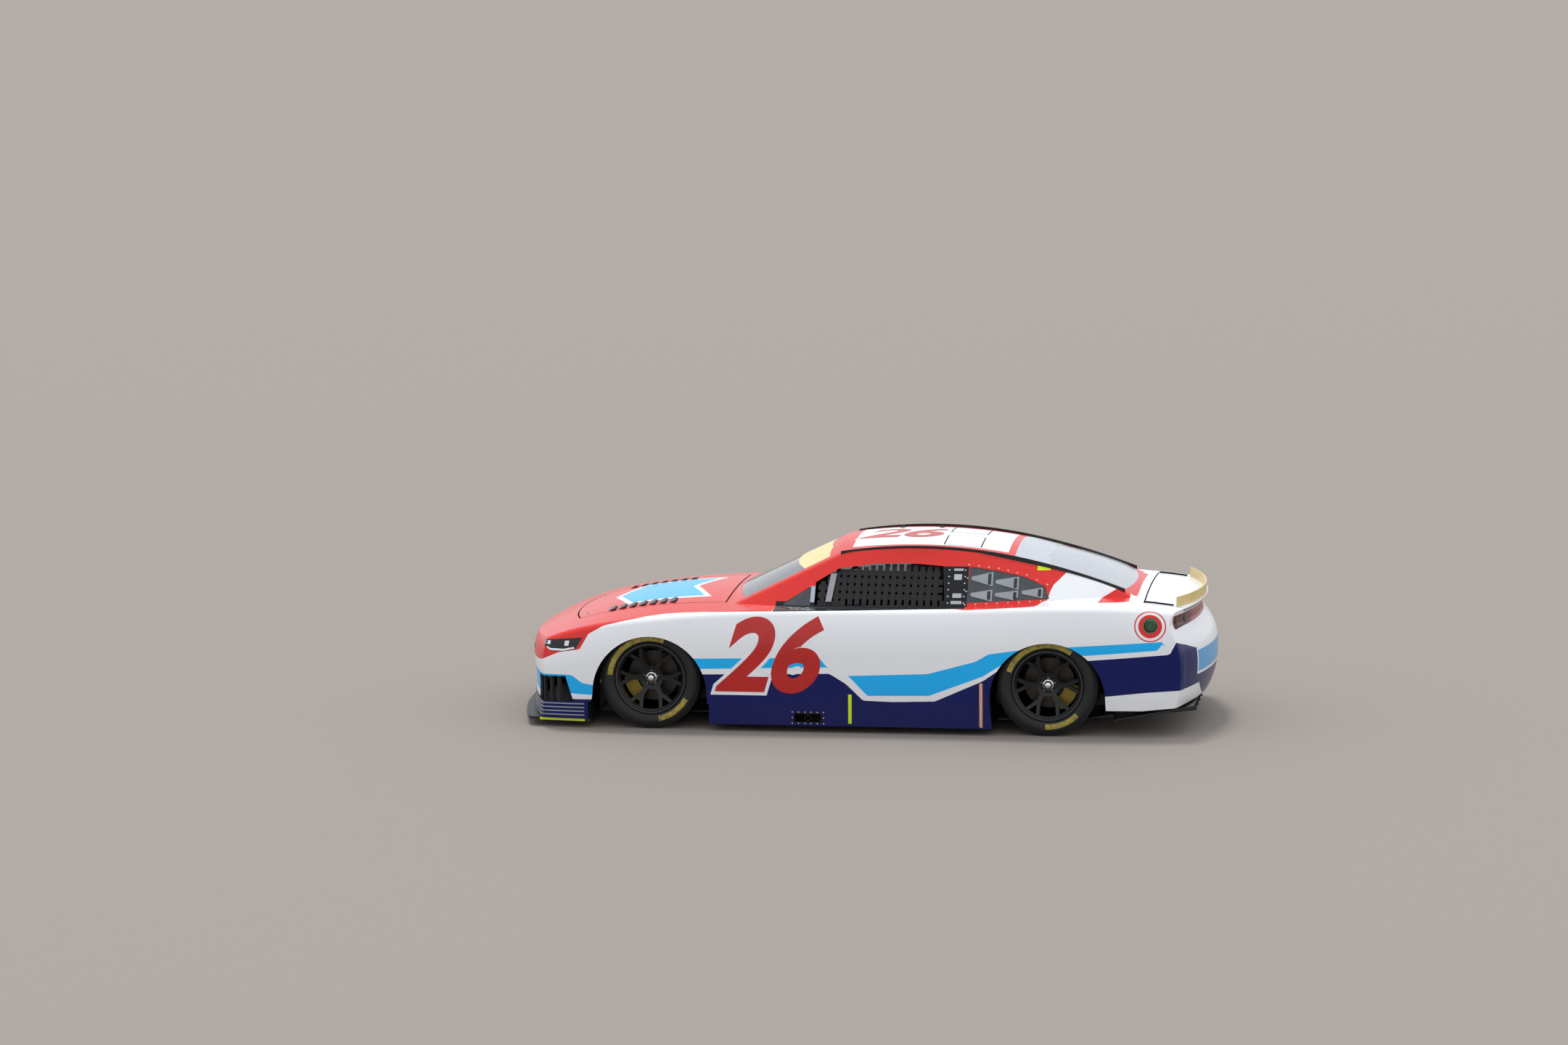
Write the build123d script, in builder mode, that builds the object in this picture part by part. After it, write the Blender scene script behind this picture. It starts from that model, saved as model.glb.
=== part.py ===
from build123d import *
from math import cos, radians, sin
import os

os.makedirs("parts", exist_ok=True)

# Axles: the nose points along +X, the left side is +Y, the ground is z = 0
front_axle_x = 1460
wheelbase = 2794
front_track = 1556
rear_track = 1586

# Tyre and wheel
tyre_radius = 356
tyre_width = 350
tread_width = 292
rim_width = 305
seat_radius = 228
flange_height = 17
flange_width = 12
barrel_wall = 11
disc_face = 62
disc_rise = 52
spoke_count = 6
spoke_depth = 34
spoke_outline = [(60, 19), (128, 16), (226, 62), (226, 36), (158, 0), (226, -36), (226, -62),
                 (128, -16), (60, -19)]
nut_radius = 34
nut_height = 34

# Hub, brake and upright
spindle_radius = 30
bearing_radius = 44
bell_radius = 82
brake_radius = 176
brake_thickness = 32
brake_offset = -14
kingpin_offset = 70
joint_spread = 150
upright_width = 96
upright_depth = 56
caliper_arc = 62
caliper_inner = 112
caliper_outer = 204
caliper_wall = 24
caliper_drop = 35
pin_radius = 10
shaft_radius = 17
running_gap = 6
fit = 0.3

# Body skin
skin = 5
door_thickness = 20
cab_wall = 25
glass_set_back = 3
glass_thickness = 6
net_thickness = 8
shoulder_radius = 55
cab_corner_radius = 60
lid_gap = 10

# Body cross sections, from nose to tail
body_stations = [
    # x, bottom z, bottom y, waist y, waist z, shoulder y, shoulder z, crown z
    (2500, 50, 880, 905, 400, 870, 515, 520),
    (2100, 50, 950, 975, 440, 915, 665, 700),
    (1780, 50, 975, 995, 500, 945, 745, 795),
    (1460, 50, 980, 998, 540, 955, 790, 853),
    (1000, 50, 980, 994, 560, 945, 832, 884),
    (500, 50, 982, 990, 560, 925, 852, 872),
    (-200, 50, 982, 990, 560, 920, 864, 884),
    (-850, 50, 982, 993, 580, 925, 884, 905),
    (-1334, 50, 980, 998, 600, 940, 905, 935),
    (-1800, 50, 960, 985, 620, 925, 905, 952),
    (-2150, 50, 930, 955, 630, 885, 882, 924),
    (-2500, 50, 880, 905, 620, 830, 848, 864),
]

# Plan outlines that round off the nose and the tail, from the ground up
plan_stations = [
    # z, nose x, nose corner x, tail x, tail corner x
    (40, 2385, 2245, -2330, -2200),
    (190, 2390, 2248, -2370, -2240),
    (380, 2397, 2248, -2443, -2285),
    (560, 2388, 2235, -2449, -2285),
    (640, 2330, 2190, -2430, -2270),
    (720, 2200, 2080, -2380, -2235),
    (880, 1900, 1800, -2375, -2215),
    (1000, 1700, 1600, -2380, -2215),
]
nose_corner_y = 880
tail_corner_y = 860
plan_reach_y = 1080
corner_run = 190
corner_radius = 320

# Plan outlines of the cabin top, from the belt up
cab_stations = [
    # z, front corner x, front corner y, front x, side y, rear corner x, rear corner y, rear x
    (820, 976, 709, 1079, 862, -2040, 575, -2090),
    (1000, 592, 633, 708, 735, -1750, 557, -1827),
    (1150, 273, 570, 399, 628, -1243, 538, -1366),
    (1320, -89, 499, 48, 545, -594, 515, -760),
]

# Roof sections, from front to rear
roof_half_width = 620
roof_stations = [
    # x, edge z, crown z
    (1200, 950, 1010),
    (700, 1068, 1128),
    (150, 1197, 1253),
    (-355, 1241, 1281),
    (-750, 1222, 1268),
    (-1075, 1172, 1228),
    (-1600, 1050, 1110),
    (-2450, 840, 900),
]

# Panel seams
fascia_seam_x = 1900
door_front_x = 640
door_rear_x = -700
tail_seam_x = -2150
sill_z = 192
skirt_z = 68
flange_y = 850
hood_rear_x = 968
hood_front_x = 2090
hood_corner_x = 2010
hood_rear_y = 640
hood_front_y = 560
lid_front_x = -1990
lid_half_width = 702
lid_low_z = 868
tulip_y = 480
tail_rise_x = -1700
tail_rise_z = 165
tail_end_z = 285

exhaust_x = 243
exhaust_length = 200
exhaust_z = 71
exhaust_height = 70
exhaust_inner_y = 880
filler_x = -2047
filler_z = 790
filler_radius = 52
filler_wall = 7
filler_depth = 30

# Wheel openings
arch_radius = 404
arch_z = 257
front_arch_lead = 448
front_arch_trail = 420
rear_arch_lead = 381
rear_arch_trail = 418
front_liner_radius = 430
front_liner_z = 331
rear_liner_radius = 400
rear_liner_z = 352
liner_wall = 4
front_liner_y = 500

# Openings in the nose
grille_half_width = 520
grille_low_z = 150
grille_top_z = 400
slot_half_width = 560
slot_low_z = 470
slot_top_z = 520
slat_pitch = 42
slat_thickness = 9
duct_angle = 42
duct_front_reach = 128
duct_rear_reach_low = 151
duct_rear_reach_top = 117
duct_low_z = 191
duct_top_z = 370
vane_count = 5
vane_pitch = 41
vane_thickness = 8

# Windows, as outlines in side view (x, z) and in front view (y, z)
vent_window = [(560, 866), (352, 868), (352, 992)]
door_window = [(322, 870), (322, 1018), (165, 1108), (-90, 1148), (-340, 1156), (-572, 1140), (-600, 886)]
quarter_window = [(-760, 1136), (-951, 1112), (-1149, 1070), (-1290, 1010), (-1322, 930), (-748, 905)]
windshield = [(634, 897), (500, 1176), (250, 1210), (-250, 1210), (-500, 1176), (-634, 897)]
backlight = [(505, 972), (505, 1136), (250, 1166), (-250, 1166), (-505, 1136), (-505, 972)]
net_pitch = 88
strap_width = 26

# Lamps, as outlines in side view and in rear view
headlamp = [(2222, 616), (1936, 644), (1984, 562), (2070, 544), (2168, 545), (2214, 580)]
tail_lamp = [(470, 768), (858, 752), (850, 838), (470, 846)]

# Roof flaps, rails and spoiler
rail_line = [(160, 1204), (-355, 1250), (-1075, 1186), (-1465, 1092), (-1840, 968)]
rail_foot_z = 900
flap_front_x = -560
flap_length = 250
flap_inner_y = 70
flap_width = 330
flap_pin_radius = 3
flap_pin_drop = 5
flap_pin_set_back = 15
rail_y = 545
rail_thickness = 10
rail_height = 18
spoiler_half_width = 700
spoiler_end_x = -2209
spoiler_middle_x = -2362
spoiler_top_z = 958
spoiler_thickness = 9

# Lid hinges
hinge_set_in = 130
hinge_drop = 17
hinge_y = 450
hinge_plate = 12
hinge_pin_radius = 4
hinge_head_radius = 7

# Structure
floor_z = 50
floor_thickness = 10
floor_front_y = 495
floor_rear_y = 590
splitter_z = 48
splitter_tip_x = 2452.4
splitter_corner_x = 2330
splitter_corner_y = 900
splitter_rear_x = 1885
diffuser_start_x = -1510
diffuser_end_x = -2340
diffuser_end_z = 205
diffuser_wall = 8
strake_count = 6
strake_wall = 6
strake_low_z = 66
firewall_x = 760
bulkhead_x = -800
sheet = 6
tray_z = 860
tray_half_width = 700
rail_centre_y = 450
rail_width = 80
rail_low_z = 150
rail_depth = 80
tower_thickness = 50
tower_length = 340
tower_top_z = 690
tower_hole_radius = 62
coil_set_back = 62
coil_radius = 22
coil_y = 585
arm_radius = 14
arm_base = 280
clip_tube_radius = 20
clip_front_x = 2040
clip_rear_x = -2280
clip_tube_high_z = 760
clip_tube_low_z = 590
cage_radius = 22
cage_bar_radius = 18
cage_bend = 60
cage_y = 640
cage_top_y = 500
cage_top_z = 1192
hoop_x = -640

# Cockpit
driver_y = 330
wheel_x = 215
wheel_z = 800
wheel_rake = 22
wheel_rim_radius = 170
wheel_grip_radius = 14
column_radius = 26
column_length = 360
seat_width = 500
seat_wall = 40

# Derived places
rear_axle_x = front_axle_x - wheelbase
axle_z = tyre_radius
rim_half = rim_width / 2
barrel_radius = seat_radius - barrel_wall
floor_top = floor_z + floor_thickness
mount_y = rail_centre_y + rail_width / 2
disc_outer = disc_face + disc_rise
reach = 3000
corners = [
    # name, axle x, side, half track, steered
    ("fl", front_axle_x, 1, front_track / 2, True),
    ("fr", front_axle_x, -1, front_track / 2, True),
    ("rl", rear_axle_x, 1, rear_track / 2, False),
    ("rr", rear_axle_x, -1, rear_track / 2, False),
]


def write(part, name):
    """Label a finished piece and write it to its file."""
    part.label = name
    export_step(part, f"parts/{name}.step")


def body_section(x, bottom_z, bottom_y, waist_y, waist_z, shoulder_y, shoulder_z, crown_z, inset):
    """One cross section of the lower body, pushed in by inset."""
    with BuildSketch(Plane.YZ.offset(x)) as section:
        with BuildLine():
            Line((-bottom_y, bottom_z), (bottom_y, bottom_z))
            TangentArc((waist_y, waist_z), (bottom_y, bottom_z), tangent=(0, -1))
            TangentArc((waist_y, waist_z), (shoulder_y, shoulder_z), tangent=(0, 1))
            TangentArc((-waist_y, waist_z), (-bottom_y, bottom_z), tangent=(0, -1))
            TangentArc((-waist_y, waist_z), (-shoulder_y, shoulder_z), tangent=(0, 1))
            ThreePointArc((shoulder_y, shoulder_z), (0, crown_z), (-shoulder_y, shoulder_z))
        make_face()
        shoulders = section.vertices().group_by(Axis.Y)[-1]
        fillet(shoulders, shoulder_radius)
        if inset:
            offset(amount=-inset, mode=Mode.REPLACE, kind=Kind.INTERSECTION)
    return section.sketch


def plan_section(z, nose_x, nose_corner_x, tail_x, tail_corner_x, inset):
    """One plan outline of the lower body, with its rounded corners, pushed in by inset."""
    ends = [(nose_x, nose_corner_x, nose_corner_y, -1), (tail_x, tail_corner_x, tail_corner_y, 1)]
    with BuildSketch(Plane.XY.offset(z)) as section:
        with BuildLine():
            for middle_x, corner_x, corner_y, inward in ends:
                side_x = corner_x + inward * corner_run
                ThreePointArc((corner_x, -corner_y), (middle_x, 0), (corner_x, corner_y))
                RadiusArc((corner_x, corner_y), (side_x, plan_reach_y), inward * corner_radius)
                RadiusArc((corner_x, -corner_y), (side_x, -plan_reach_y), -inward * corner_radius)
            for y in (-plan_reach_y, plan_reach_y):
                Line((nose_corner_x - corner_run, y), (tail_corner_x + corner_run, y))
        make_face()
        if inset:
            offset(amount=-inset, mode=Mode.REPLACE, kind=Kind.INTERSECTION)
    return section.sketch


def body_solid(inset):
    """The closed lower body, pushed in from its outer surface by inset."""
    with BuildPart() as sides:
        loft([body_section(*row, inset) for row in body_stations])
    with BuildPart() as ends:
        loft([plan_section(*row, inset) for row in plan_stations])
    with BuildPart() as body:
        add(sides.part)
        add(ends.part, mode=Mode.INTERSECT)
    return body.part


def cab_section(z, front_corner_x, front_y, front_x, side_y, rear_corner_x, rear_y, rear_x, inset):
    """One plan outline of the cabin top, pushed in by inset."""
    middle_x = (front_corner_x + rear_corner_x) / 2
    with BuildSketch(Plane.XY.offset(z)) as section:
        with BuildLine():
            ThreePointArc((front_corner_x, -front_y), (front_x, 0), (front_corner_x, front_y))
            ThreePointArc((front_corner_x, front_y), (middle_x, side_y), (rear_corner_x, rear_y))
            ThreePointArc((rear_corner_x, rear_y), (rear_x, 0), (rear_corner_x, -rear_y))
            ThreePointArc((rear_corner_x, -rear_y), (middle_x, -side_y), (front_corner_x, -front_y))
        make_face()
        fillet(section.vertices(), cab_corner_radius)
        if inset:
            offset(amount=-inset, mode=Mode.REPLACE, kind=Kind.INTERSECTION)
    return section.sketch


def roof_section(x, edge_z, crown_z, inset):
    """Everything below the roof at one place along the car, lowered by inset."""
    floor = cab_stations[0][0] - 100
    with BuildSketch(Plane.YZ.offset(x)) as section:
        with BuildLine():
            edge = edge_z - inset
            Polyline((roof_half_width, edge), (900, edge), (900, floor), (-900, floor), (-900, edge),
                     (-roof_half_width, edge))
            ThreePointArc((-roof_half_width, edge), (0, crown_z - inset), (roof_half_width, edge))
        make_face()
    return section.sketch


def cab_solid(inset):
    """The closed cabin top, pushed in from its outer surface by inset."""
    with BuildPart() as walls:
        loft([cab_section(*row, inset) for row in cab_stations])
    with BuildPart() as under_roof:
        loft([roof_section(*row, inset) for row in roof_stations])
    with BuildPart() as cab:
        add(walls.part)
        add(under_roof.part, mode=Mode.INTERSECT)
    return cab.part


def shell(outer, *removed):
    """The outer solid with the others taken out of it."""
    with BuildPart() as piece:
        add(outer)
        for solid in removed:
            add(solid, mode=Mode.SUBTRACT)
    return piece.part


def panel(source, region, *removed):
    """The piece of a shell that lies in a region, less the removed solids."""
    with BuildPart() as piece:
        add(region)
        for solid in removed:
            add(solid, mode=Mode.SUBTRACT)
        add(source, mode=Mode.INTERSECT)
    return piece.part


def prism(plane, points, amount, both=False):
    """A straight prism on an outline."""
    with BuildPart() as piece:
        with BuildSketch(plane):
            with BuildLine():
                Polyline(*points, close=True)
            make_face()
        extrude(amount=amount, both=both)
    return piece.part


def block(x_range, y_range, z_range):
    """A box between two places along each axis."""
    middle = [sum(span) / 2 for span in (x_range, y_range, z_range)]
    size = [abs(span[1] - span[0]) for span in (x_range, y_range, z_range)]
    with BuildPart() as piece:
        with Locations(tuple(middle)):
            Box(*size)
    return piece.part


def top_at(solid, x, y):
    """The height of a solid's top at one place in plan."""
    hits = solid.find_intersection_points(Axis((x, y, 0), (0, 0, 1)))
    return max(hit[0].Z for hit in hits)


def side_prism(points, side):
    """A prism through one side of the car on an outline in side view."""
    return prism(Plane.XZ, points, -side * reach)


def tube(start, end, radius):
    """A straight round bar between two points."""
    run = Vector(*end) - Vector(*start)
    with Locations(Plane(origin=start, z_dir=run)):
        Cylinder(radius, run.length, align=(Align.CENTER, Align.CENTER, Align.MIN))


def arch_prism(axle_x, lead, trail):
    """The wheel opening through both sides of the body."""
    with BuildPart() as piece:
        with BuildSketch(Plane.XZ):
            with Locations((axle_x, arch_z)):
                Circle(arch_radius)
            with BuildLine():
                Polyline((axle_x - arch_radius, arch_z), (axle_x + arch_radius, arch_z),
                         (axle_x + lead, 0), (axle_x - trail, 0), close=True)
            make_face()
        extrude(amount=reach, both=True)
    return piece.part


def hood_prism(grow):
    """The plan of the hood, grown by grow, through the top of the nose."""
    with BuildPart() as piece:
        with BuildSketch(Plane.XY.offset(400)):
            with BuildLine():
                Polyline((hood_corner_x, hood_front_y), (hood_rear_x, hood_rear_y),
                         (hood_rear_x, -hood_rear_y), (hood_corner_x, -hood_front_y))
                ThreePointArc((hood_corner_x, -hood_front_y), (hood_front_x, 0),
                              (hood_corner_x, hood_front_y))
            make_face()
            if grow:
                offset(amount=grow, kind=Kind.INTERSECTION)
        extrude(amount=reach)
    return piece.part


# Solids that every panel is cut from
body = body_solid(0)
body_inside = body_solid(skin)
body_core = body_solid(door_thickness)
cab = cab_solid(0)
cab_inside = cab_solid(cab_wall)
glass_outside = cab_solid(glass_set_back)
glass_inside = cab_solid(glass_set_back + glass_thickness)
net_inside = cab_solid(glass_set_back + glass_thickness + net_thickness)

front_arch = arch_prism(front_axle_x, front_arch_lead, front_arch_trail)
rear_arch = arch_prism(rear_axle_x, rear_arch_lead, rear_arch_trail)
thin_body = shell(body, body_inside, cab, front_arch, rear_arch)
thick_body = shell(body, body_core, cab, front_arch, rear_arch)
cab_shell = shell(cab, cab_inside, body_inside)
glass = shell(glass_outside, glass_inside)

# Cutters
tail_line = [(tail_rise_x, tail_rise_z), (-reach, tail_end_z), (-reach, -reach), (tail_rise_x, -reach)]
under_tail = prism(Plane.XZ, tail_line, reach, both=True)
hood_panel = hood_prism(0)
hood_hole = hood_prism(lid_gap)
lid_panel = block((-reach, lid_front_x), (-lid_half_width, lid_half_width), (lid_low_z, reach))
lid_hole = block((-reach, lid_front_x + lid_gap), (-lid_half_width - lid_gap, lid_half_width + lid_gap),
                 (lid_low_z - lid_gap, reach))
tulip_hole = block((lid_front_x, lid_front_x + 400), (-tulip_y, tulip_y), (600, reach))
cowl_hole = block((door_front_x, hood_rear_x - lid_gap), (-hood_rear_y, hood_rear_y), (400, reach))
grille_hole = block((fascia_seam_x, reach), (-grille_half_width, grille_half_width),
                    (grille_low_z, grille_top_z))
slot_hole = block((fascia_seam_x, reach), (-slot_half_width, slot_half_width), (slot_low_z, slot_top_z))
lamp_holes = {side: side_prism(headlamp, side) for side in (1, -1)}
duct_holes = {}
duct_vanes = {}
duct_height = duct_top_z - duct_low_z
duct_corner = (2150, 905)
for side in (1, -1):
    outward = Vector(cos(radians(duct_angle)), side * sin(radians(duct_angle)), 0)
    middle = Vector(duct_corner[0], side * duct_corner[1], (duct_low_z + duct_top_z) / 2)
    duct_plane = Plane(origin=middle - outward * 150, x_dir=(0, 0, 1), z_dir=outward)
    with BuildPart() as duct:
        with BuildSketch(duct_plane):
            with BuildLine():
                Polyline((-duct_height / 2, -side * duct_rear_reach_low),
                         (-duct_height / 2, side * duct_front_reach),
                         (duct_height / 2, side * duct_front_reach),
                         (duct_height / 2, -side * duct_rear_reach_top), close=True)
            make_face()
        extrude(amount=600)
    duct_holes[side] = duct.part
    with BuildPart() as vanes:
        with BuildSketch(duct_plane):
            with Locations((0, side * (duct_front_reach - duct_rear_reach_top) / 2)):
                with GridLocations(0, vane_pitch, 1, vane_count):
                    Rectangle(duct_height, vane_thickness)
        extrude(amount=600)
    duct_vanes[side] = vanes.part

# Nose
nose_region = block((fascia_seam_x, reach), (-reach, reach), (skirt_z, reach))
front_fascia = panel(thin_body, nose_region, hood_hole, grille_hole, slot_hole,
                     *duct_holes.values(), *lamp_holes.values())
write(front_fascia, "front_fascia")

thick_nose = panel(thick_body, nose_region)
write(panel(thick_nose, prism(Plane.XZ, headlamp, reach, both=True)), "headlamps")

with BuildPart() as slats:
    slats_high = int((grille_top_z - grille_low_z) / slat_pitch)
    with BuildSketch(Plane.YZ.offset(fascia_seam_x)):
        with Locations((0, (grille_low_z + grille_top_z) / 2)):
            with GridLocations(0, slat_pitch, 1, slats_high):
                Rectangle(2 * grille_half_width, slat_thickness)
            with GridLocations(4 * slat_pitch, 0, 5, 1):
                Rectangle(slat_thickness, grille_top_z - grille_low_z)
        with Locations((0, (slot_low_z + slot_top_z) / 2)):
            Rectangle(2 * slot_half_width, slat_thickness)
    extrude(amount=reach)
with BuildPart() as grille:
    for lattice in [slats.part, *duct_vanes.values()]:
        add(panel(thick_nose, lattice))
write(grille.part, "grille")

with BuildPart() as splitter:
    with BuildSketch(Plane.XY.offset(splitter_z)):
        with BuildLine():
            ThreePointArc((splitter_corner_x, -splitter_corner_y), (splitter_tip_x, 0),
                          (splitter_corner_x, splitter_corner_y))
            Polyline((splitter_corner_x, splitter_corner_y), (splitter_rear_x, 965),
                     (splitter_rear_x, -965), (splitter_corner_x, -splitter_corner_y))
        make_face()
    extrude(amount=skirt_z - splitter_z)
    fillet(splitter.edges().filter_by(Axis.Z).sort_by(Axis.X)[-2:], 60)
write(splitter.part, "splitter")

# Hood, on two hinges under its rear edge
hood_axis_x = hood_rear_x + hinge_set_in
hood_axis_z = top_at(body, hood_axis_x, hinge_y) - hinge_drop
lug_y = hinge_y + hinge_plate
with BuildPart() as hood:
    add(panel(thin_body, hood_panel))
    for side in (1, -1):
        low_z = hood_axis_z - hinge_head_radius
        lug = block((hood_axis_x - 12, hood_axis_x + 12), (side * lug_y, side * (lug_y + hinge_plate)),
                    (low_z, low_z + 60))
        add(lug & body)
        tube((hood_axis_x, side * lug_y, hood_axis_z),
             (hood_axis_x, side * (hinge_y - hinge_plate / 2), hood_axis_z), hinge_pin_radius)
write(hood.part, "hood")

# Body sides
sill_outline = [(front_axle_x - front_arch_trail, sill_z), (rear_axle_x + rear_arch_lead, sill_z),
              (rear_axle_x + rear_arch_lead, -reach), (front_axle_x - front_arch_trail, -reach)]
filler_plane = Plane(origin=(filler_x, reach / 3, filler_z), z_dir=(0, 1, 0))
with BuildPart() as fuel_port:
    with Locations(filler_plane):
        Cylinder(filler_radius, 2 * reach / 3)
    add(body, mode=Mode.INTERSECT)
    port_face = fuel_port.part.bounding_box().max.Y - filler_depth
    add(block((-reach, 0), (0, port_face - 40), (0, reach)), mode=Mode.SUBTRACT)
    with Locations(Plane(origin=(filler_x, port_face, filler_z), z_dir=(0, 1, 0))):
        Cylinder(filler_radius - filler_wall, 200, align=(Align.CENTER, Align.CENTER, Align.MIN),
                 mode=Mode.SUBTRACT)
write(fuel_port.part, "fuel_port")

with BuildPart() as filler_hole:
    with Locations(filler_plane):
        Cylinder(filler_radius + fit, 2 * reach / 3)
for name, side in (("left", 1), ("right", -1)):
    half = (0, side * reach)
    fender_region = block((door_front_x, fascia_seam_x), half, (sill_z, reach))
    write(panel(thin_body, fender_region, hood_hole, cowl_hole), f"fender_{name}")
    door_region = block((door_rear_x, door_front_x), half, (sill_z, reach))
    write(panel(thick_body, door_region), f"door_{name}")
    quarter_region = block((tail_seam_x, door_rear_x), half, (sill_z, reach))
    quarter = panel(thin_body, quarter_region, under_tail, lid_hole, tulip_hole, filler_hole.part)
    write(quarter, f"quarter_{name}")

exhaust_box = block((exhaust_x, exhaust_x + exhaust_length), (-reach, reach),
                    (exhaust_z, exhaust_z + exhaust_height))
under_car = block((-reach, reach), (-flange_y, flange_y), (-reach, sill_z))
sill_region = prism(Plane.XZ, sill_outline, reach, both=True)
write(panel(thin_body, sill_region, under_car, exhaust_box), "rockers")

with BuildPart() as exhausts:
    add(exhaust_box)
    add(body, mode=Mode.INTERSECT)
    add(block((-reach, reach), (-exhaust_inner_y, exhaust_inner_y), (0, reach)), mode=Mode.SUBTRACT)
    add(block((exhaust_x + sheet, exhaust_x + exhaust_length - sheet), (-reach, reach),
              (exhaust_z + sheet, exhaust_z + exhaust_height - sheet)), mode=Mode.SUBTRACT)
write(exhausts.part, "exhausts")

# Tail
tail_lamp_prism = prism(Plane.YZ, tail_lamp, -reach)
tail_lamp_mirror = prism(Plane.YZ, [(-y, z) for y, z in tail_lamp], -reach)
tail_region = block((-reach, tail_seam_x), (-reach, reach), (0, reach))
rear_fascia = panel(thin_body, tail_region, under_tail, lid_hole, tail_lamp_prism, tail_lamp_mirror)
write(rear_fascia, "rear_fascia")

thick_tail = panel(thick_body, tail_region)
with BuildPart() as tail_lamps:
    for lamp_prism in (tail_lamp_prism, tail_lamp_mirror):
        add(panel(thick_tail, lamp_prism))
write(tail_lamps.part, "tail_lamps")

lid_axis_x = lid_front_x - hinge_set_in
lid_axis_z = top_at(body, lid_axis_x, hinge_y) - hinge_drop
with BuildPart() as deck_lid:
    add(panel(thin_body, lid_panel))
    for side in (1, -1):
        low_z = lid_axis_z - hinge_head_radius
        lug = block((lid_axis_x - 12, lid_axis_x + 12), (side * lug_y, side * (lug_y + hinge_plate)),
                    (low_z, low_z + 60))
        add(lug & body)
        tube((lid_axis_x, side * lug_y, lid_axis_z),
             (lid_axis_x, side * (hinge_y - hinge_plate / 2), lid_axis_z), hinge_pin_radius)
write(deck_lid.part, "deck_lid")

with BuildPart() as spoiler:
    with BuildSketch(Plane.XY.offset(lid_low_z)):
        with BuildLine():
            for back in (0, spoiler_thickness):
                ThreePointArc((spoiler_end_x - back, -spoiler_half_width), (spoiler_middle_x - back, 0),
                              (spoiler_end_x - back, spoiler_half_width))
            for y in (-spoiler_half_width, spoiler_half_width):
                Line((spoiler_end_x, y), (spoiler_end_x - spoiler_thickness, y))
        make_face()
    extrude(amount=spoiler_top_z - lid_low_z)
    add(body, mode=Mode.SUBTRACT)
write(spoiler.part, "spoiler")

# Cabin top, its glass and its roof flaps
flap_pins = []
flap_openings = []
for name, side in (("left", 1), ("right", -1)):
    near_y, far_y = side * flap_inner_y, side * (flap_inner_y + flap_width)
    pin_x = flap_front_x - flap_pin_set_back
    ends = [Vector(pin_x, y, top_at(cab, pin_x, y) - flap_pin_drop) for y in (near_y, far_y)]
    outward = (ends[1] - ends[0]).normalized()
    pin_ends = [ends[0] - outward * 2 * lid_gap, ends[1] + outward * 2 * lid_gap]
    with BuildPart() as roof_flap:
        flap_region = block((flap_front_x, flap_front_x - flap_length), (near_y, far_y), (1000, reach))
        add(panel(cab_shell, flap_region))
        tube(pin_ends[0], pin_ends[1], flap_pin_radius)
    write(roof_flap.part, f"roof_flap_{name}")
    with BuildPart() as pin_hole:
        tube(pin_ends[0] - outward, pin_ends[1] + outward, flap_pin_radius + fit)
    flap_pins.append(pin_hole.part)
    flap_openings.append(
        block((flap_front_x + lid_gap, flap_front_x - flap_length - lid_gap),
              (near_y - side * lid_gap, far_y + side * lid_gap), (1000, reach)))

side_openings = {
    "vent": prism(Plane.XZ, vent_window, reach, both=True),
    "door": prism(Plane.XZ, door_window, reach, both=True),
    "quarter": prism(Plane.XZ, quarter_window, reach, both=True),
}
windshield_opening = prism(Plane.YZ, windshield, reach)
backlight_opening = prism(Plane.YZ.offset(door_rear_x), backlight, -reach)

with BuildPart() as openings:
    for opening in [*side_openings.values(), windshield_opening, backlight_opening]:
        add(opening)
    for cut in [*flap_pins, *flap_openings]:
        add(cut)
with BuildPart() as greenhouse:
    add(cab_shell)
    add(openings.part, mode=Mode.SUBTRACT)
    add(panel(thin_body, cowl_hole))
    add(panel(thin_body, tulip_hole, lid_hole))
write(greenhouse.part, "greenhouse")

write(panel(glass, windshield_opening), "windshield")
write(panel(glass, backlight_opening), "rear_window")
with BuildPart() as side_windows:
    for side in (1, -1):
        add(panel(glass, side_prism(vent_window, side)))
        add(panel(glass, side_prism(quarter_window, side)))
    add(panel(glass, side_prism(door_window, -1)))
write(side_windows.part, "side_windows")

net_left, net_right = min(x for x, z in door_window), max(x for x, z in door_window)
net_low, net_high = min(z for x, z in door_window), max(z for x, z in door_window)
with BuildPart() as straps:
    with BuildSketch(Plane.XZ):
        with Locations(((net_left + net_right) / 2, (net_low + net_high) / 2)):
            with GridLocations(net_pitch, 0, int((net_right - net_left) / net_pitch), 1):
                Rectangle(strap_width, net_high - net_low)
            with GridLocations(0, net_pitch, 1, int((net_high - net_low) / net_pitch) + 1):
                Rectangle(net_right - net_left, strap_width)
    extrude(amount=-reach)
    add(side_openings["door"], mode=Mode.INTERSECT)
write(panel(shell(glass_inside, net_inside), straps.part), "window_net")

with BuildPart() as roof_rails:
    for side in (1, -1):
        with BuildSketch(Plane.XZ.offset(-side * rail_y)):
            with BuildLine():
                points = [(x, z + rail_height) for x, z in rail_line]
                ThreePointArc(*points[:3])
                ThreePointArc(*points[2:])
                Polyline(points[-1], (points[-1][0], rail_foot_z), (points[0][0], rail_foot_z), points[0])
            make_face()
        extrude(amount=rail_thickness / 2, both=True)
    add(cab, mode=Mode.SUBTRACT)
    add(body, mode=Mode.SUBTRACT)
    add(block((-reach, reach), (-reach, reach), (0, 930)), mode=Mode.SUBTRACT)
write(roof_rails.part, "roof_rails")

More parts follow.
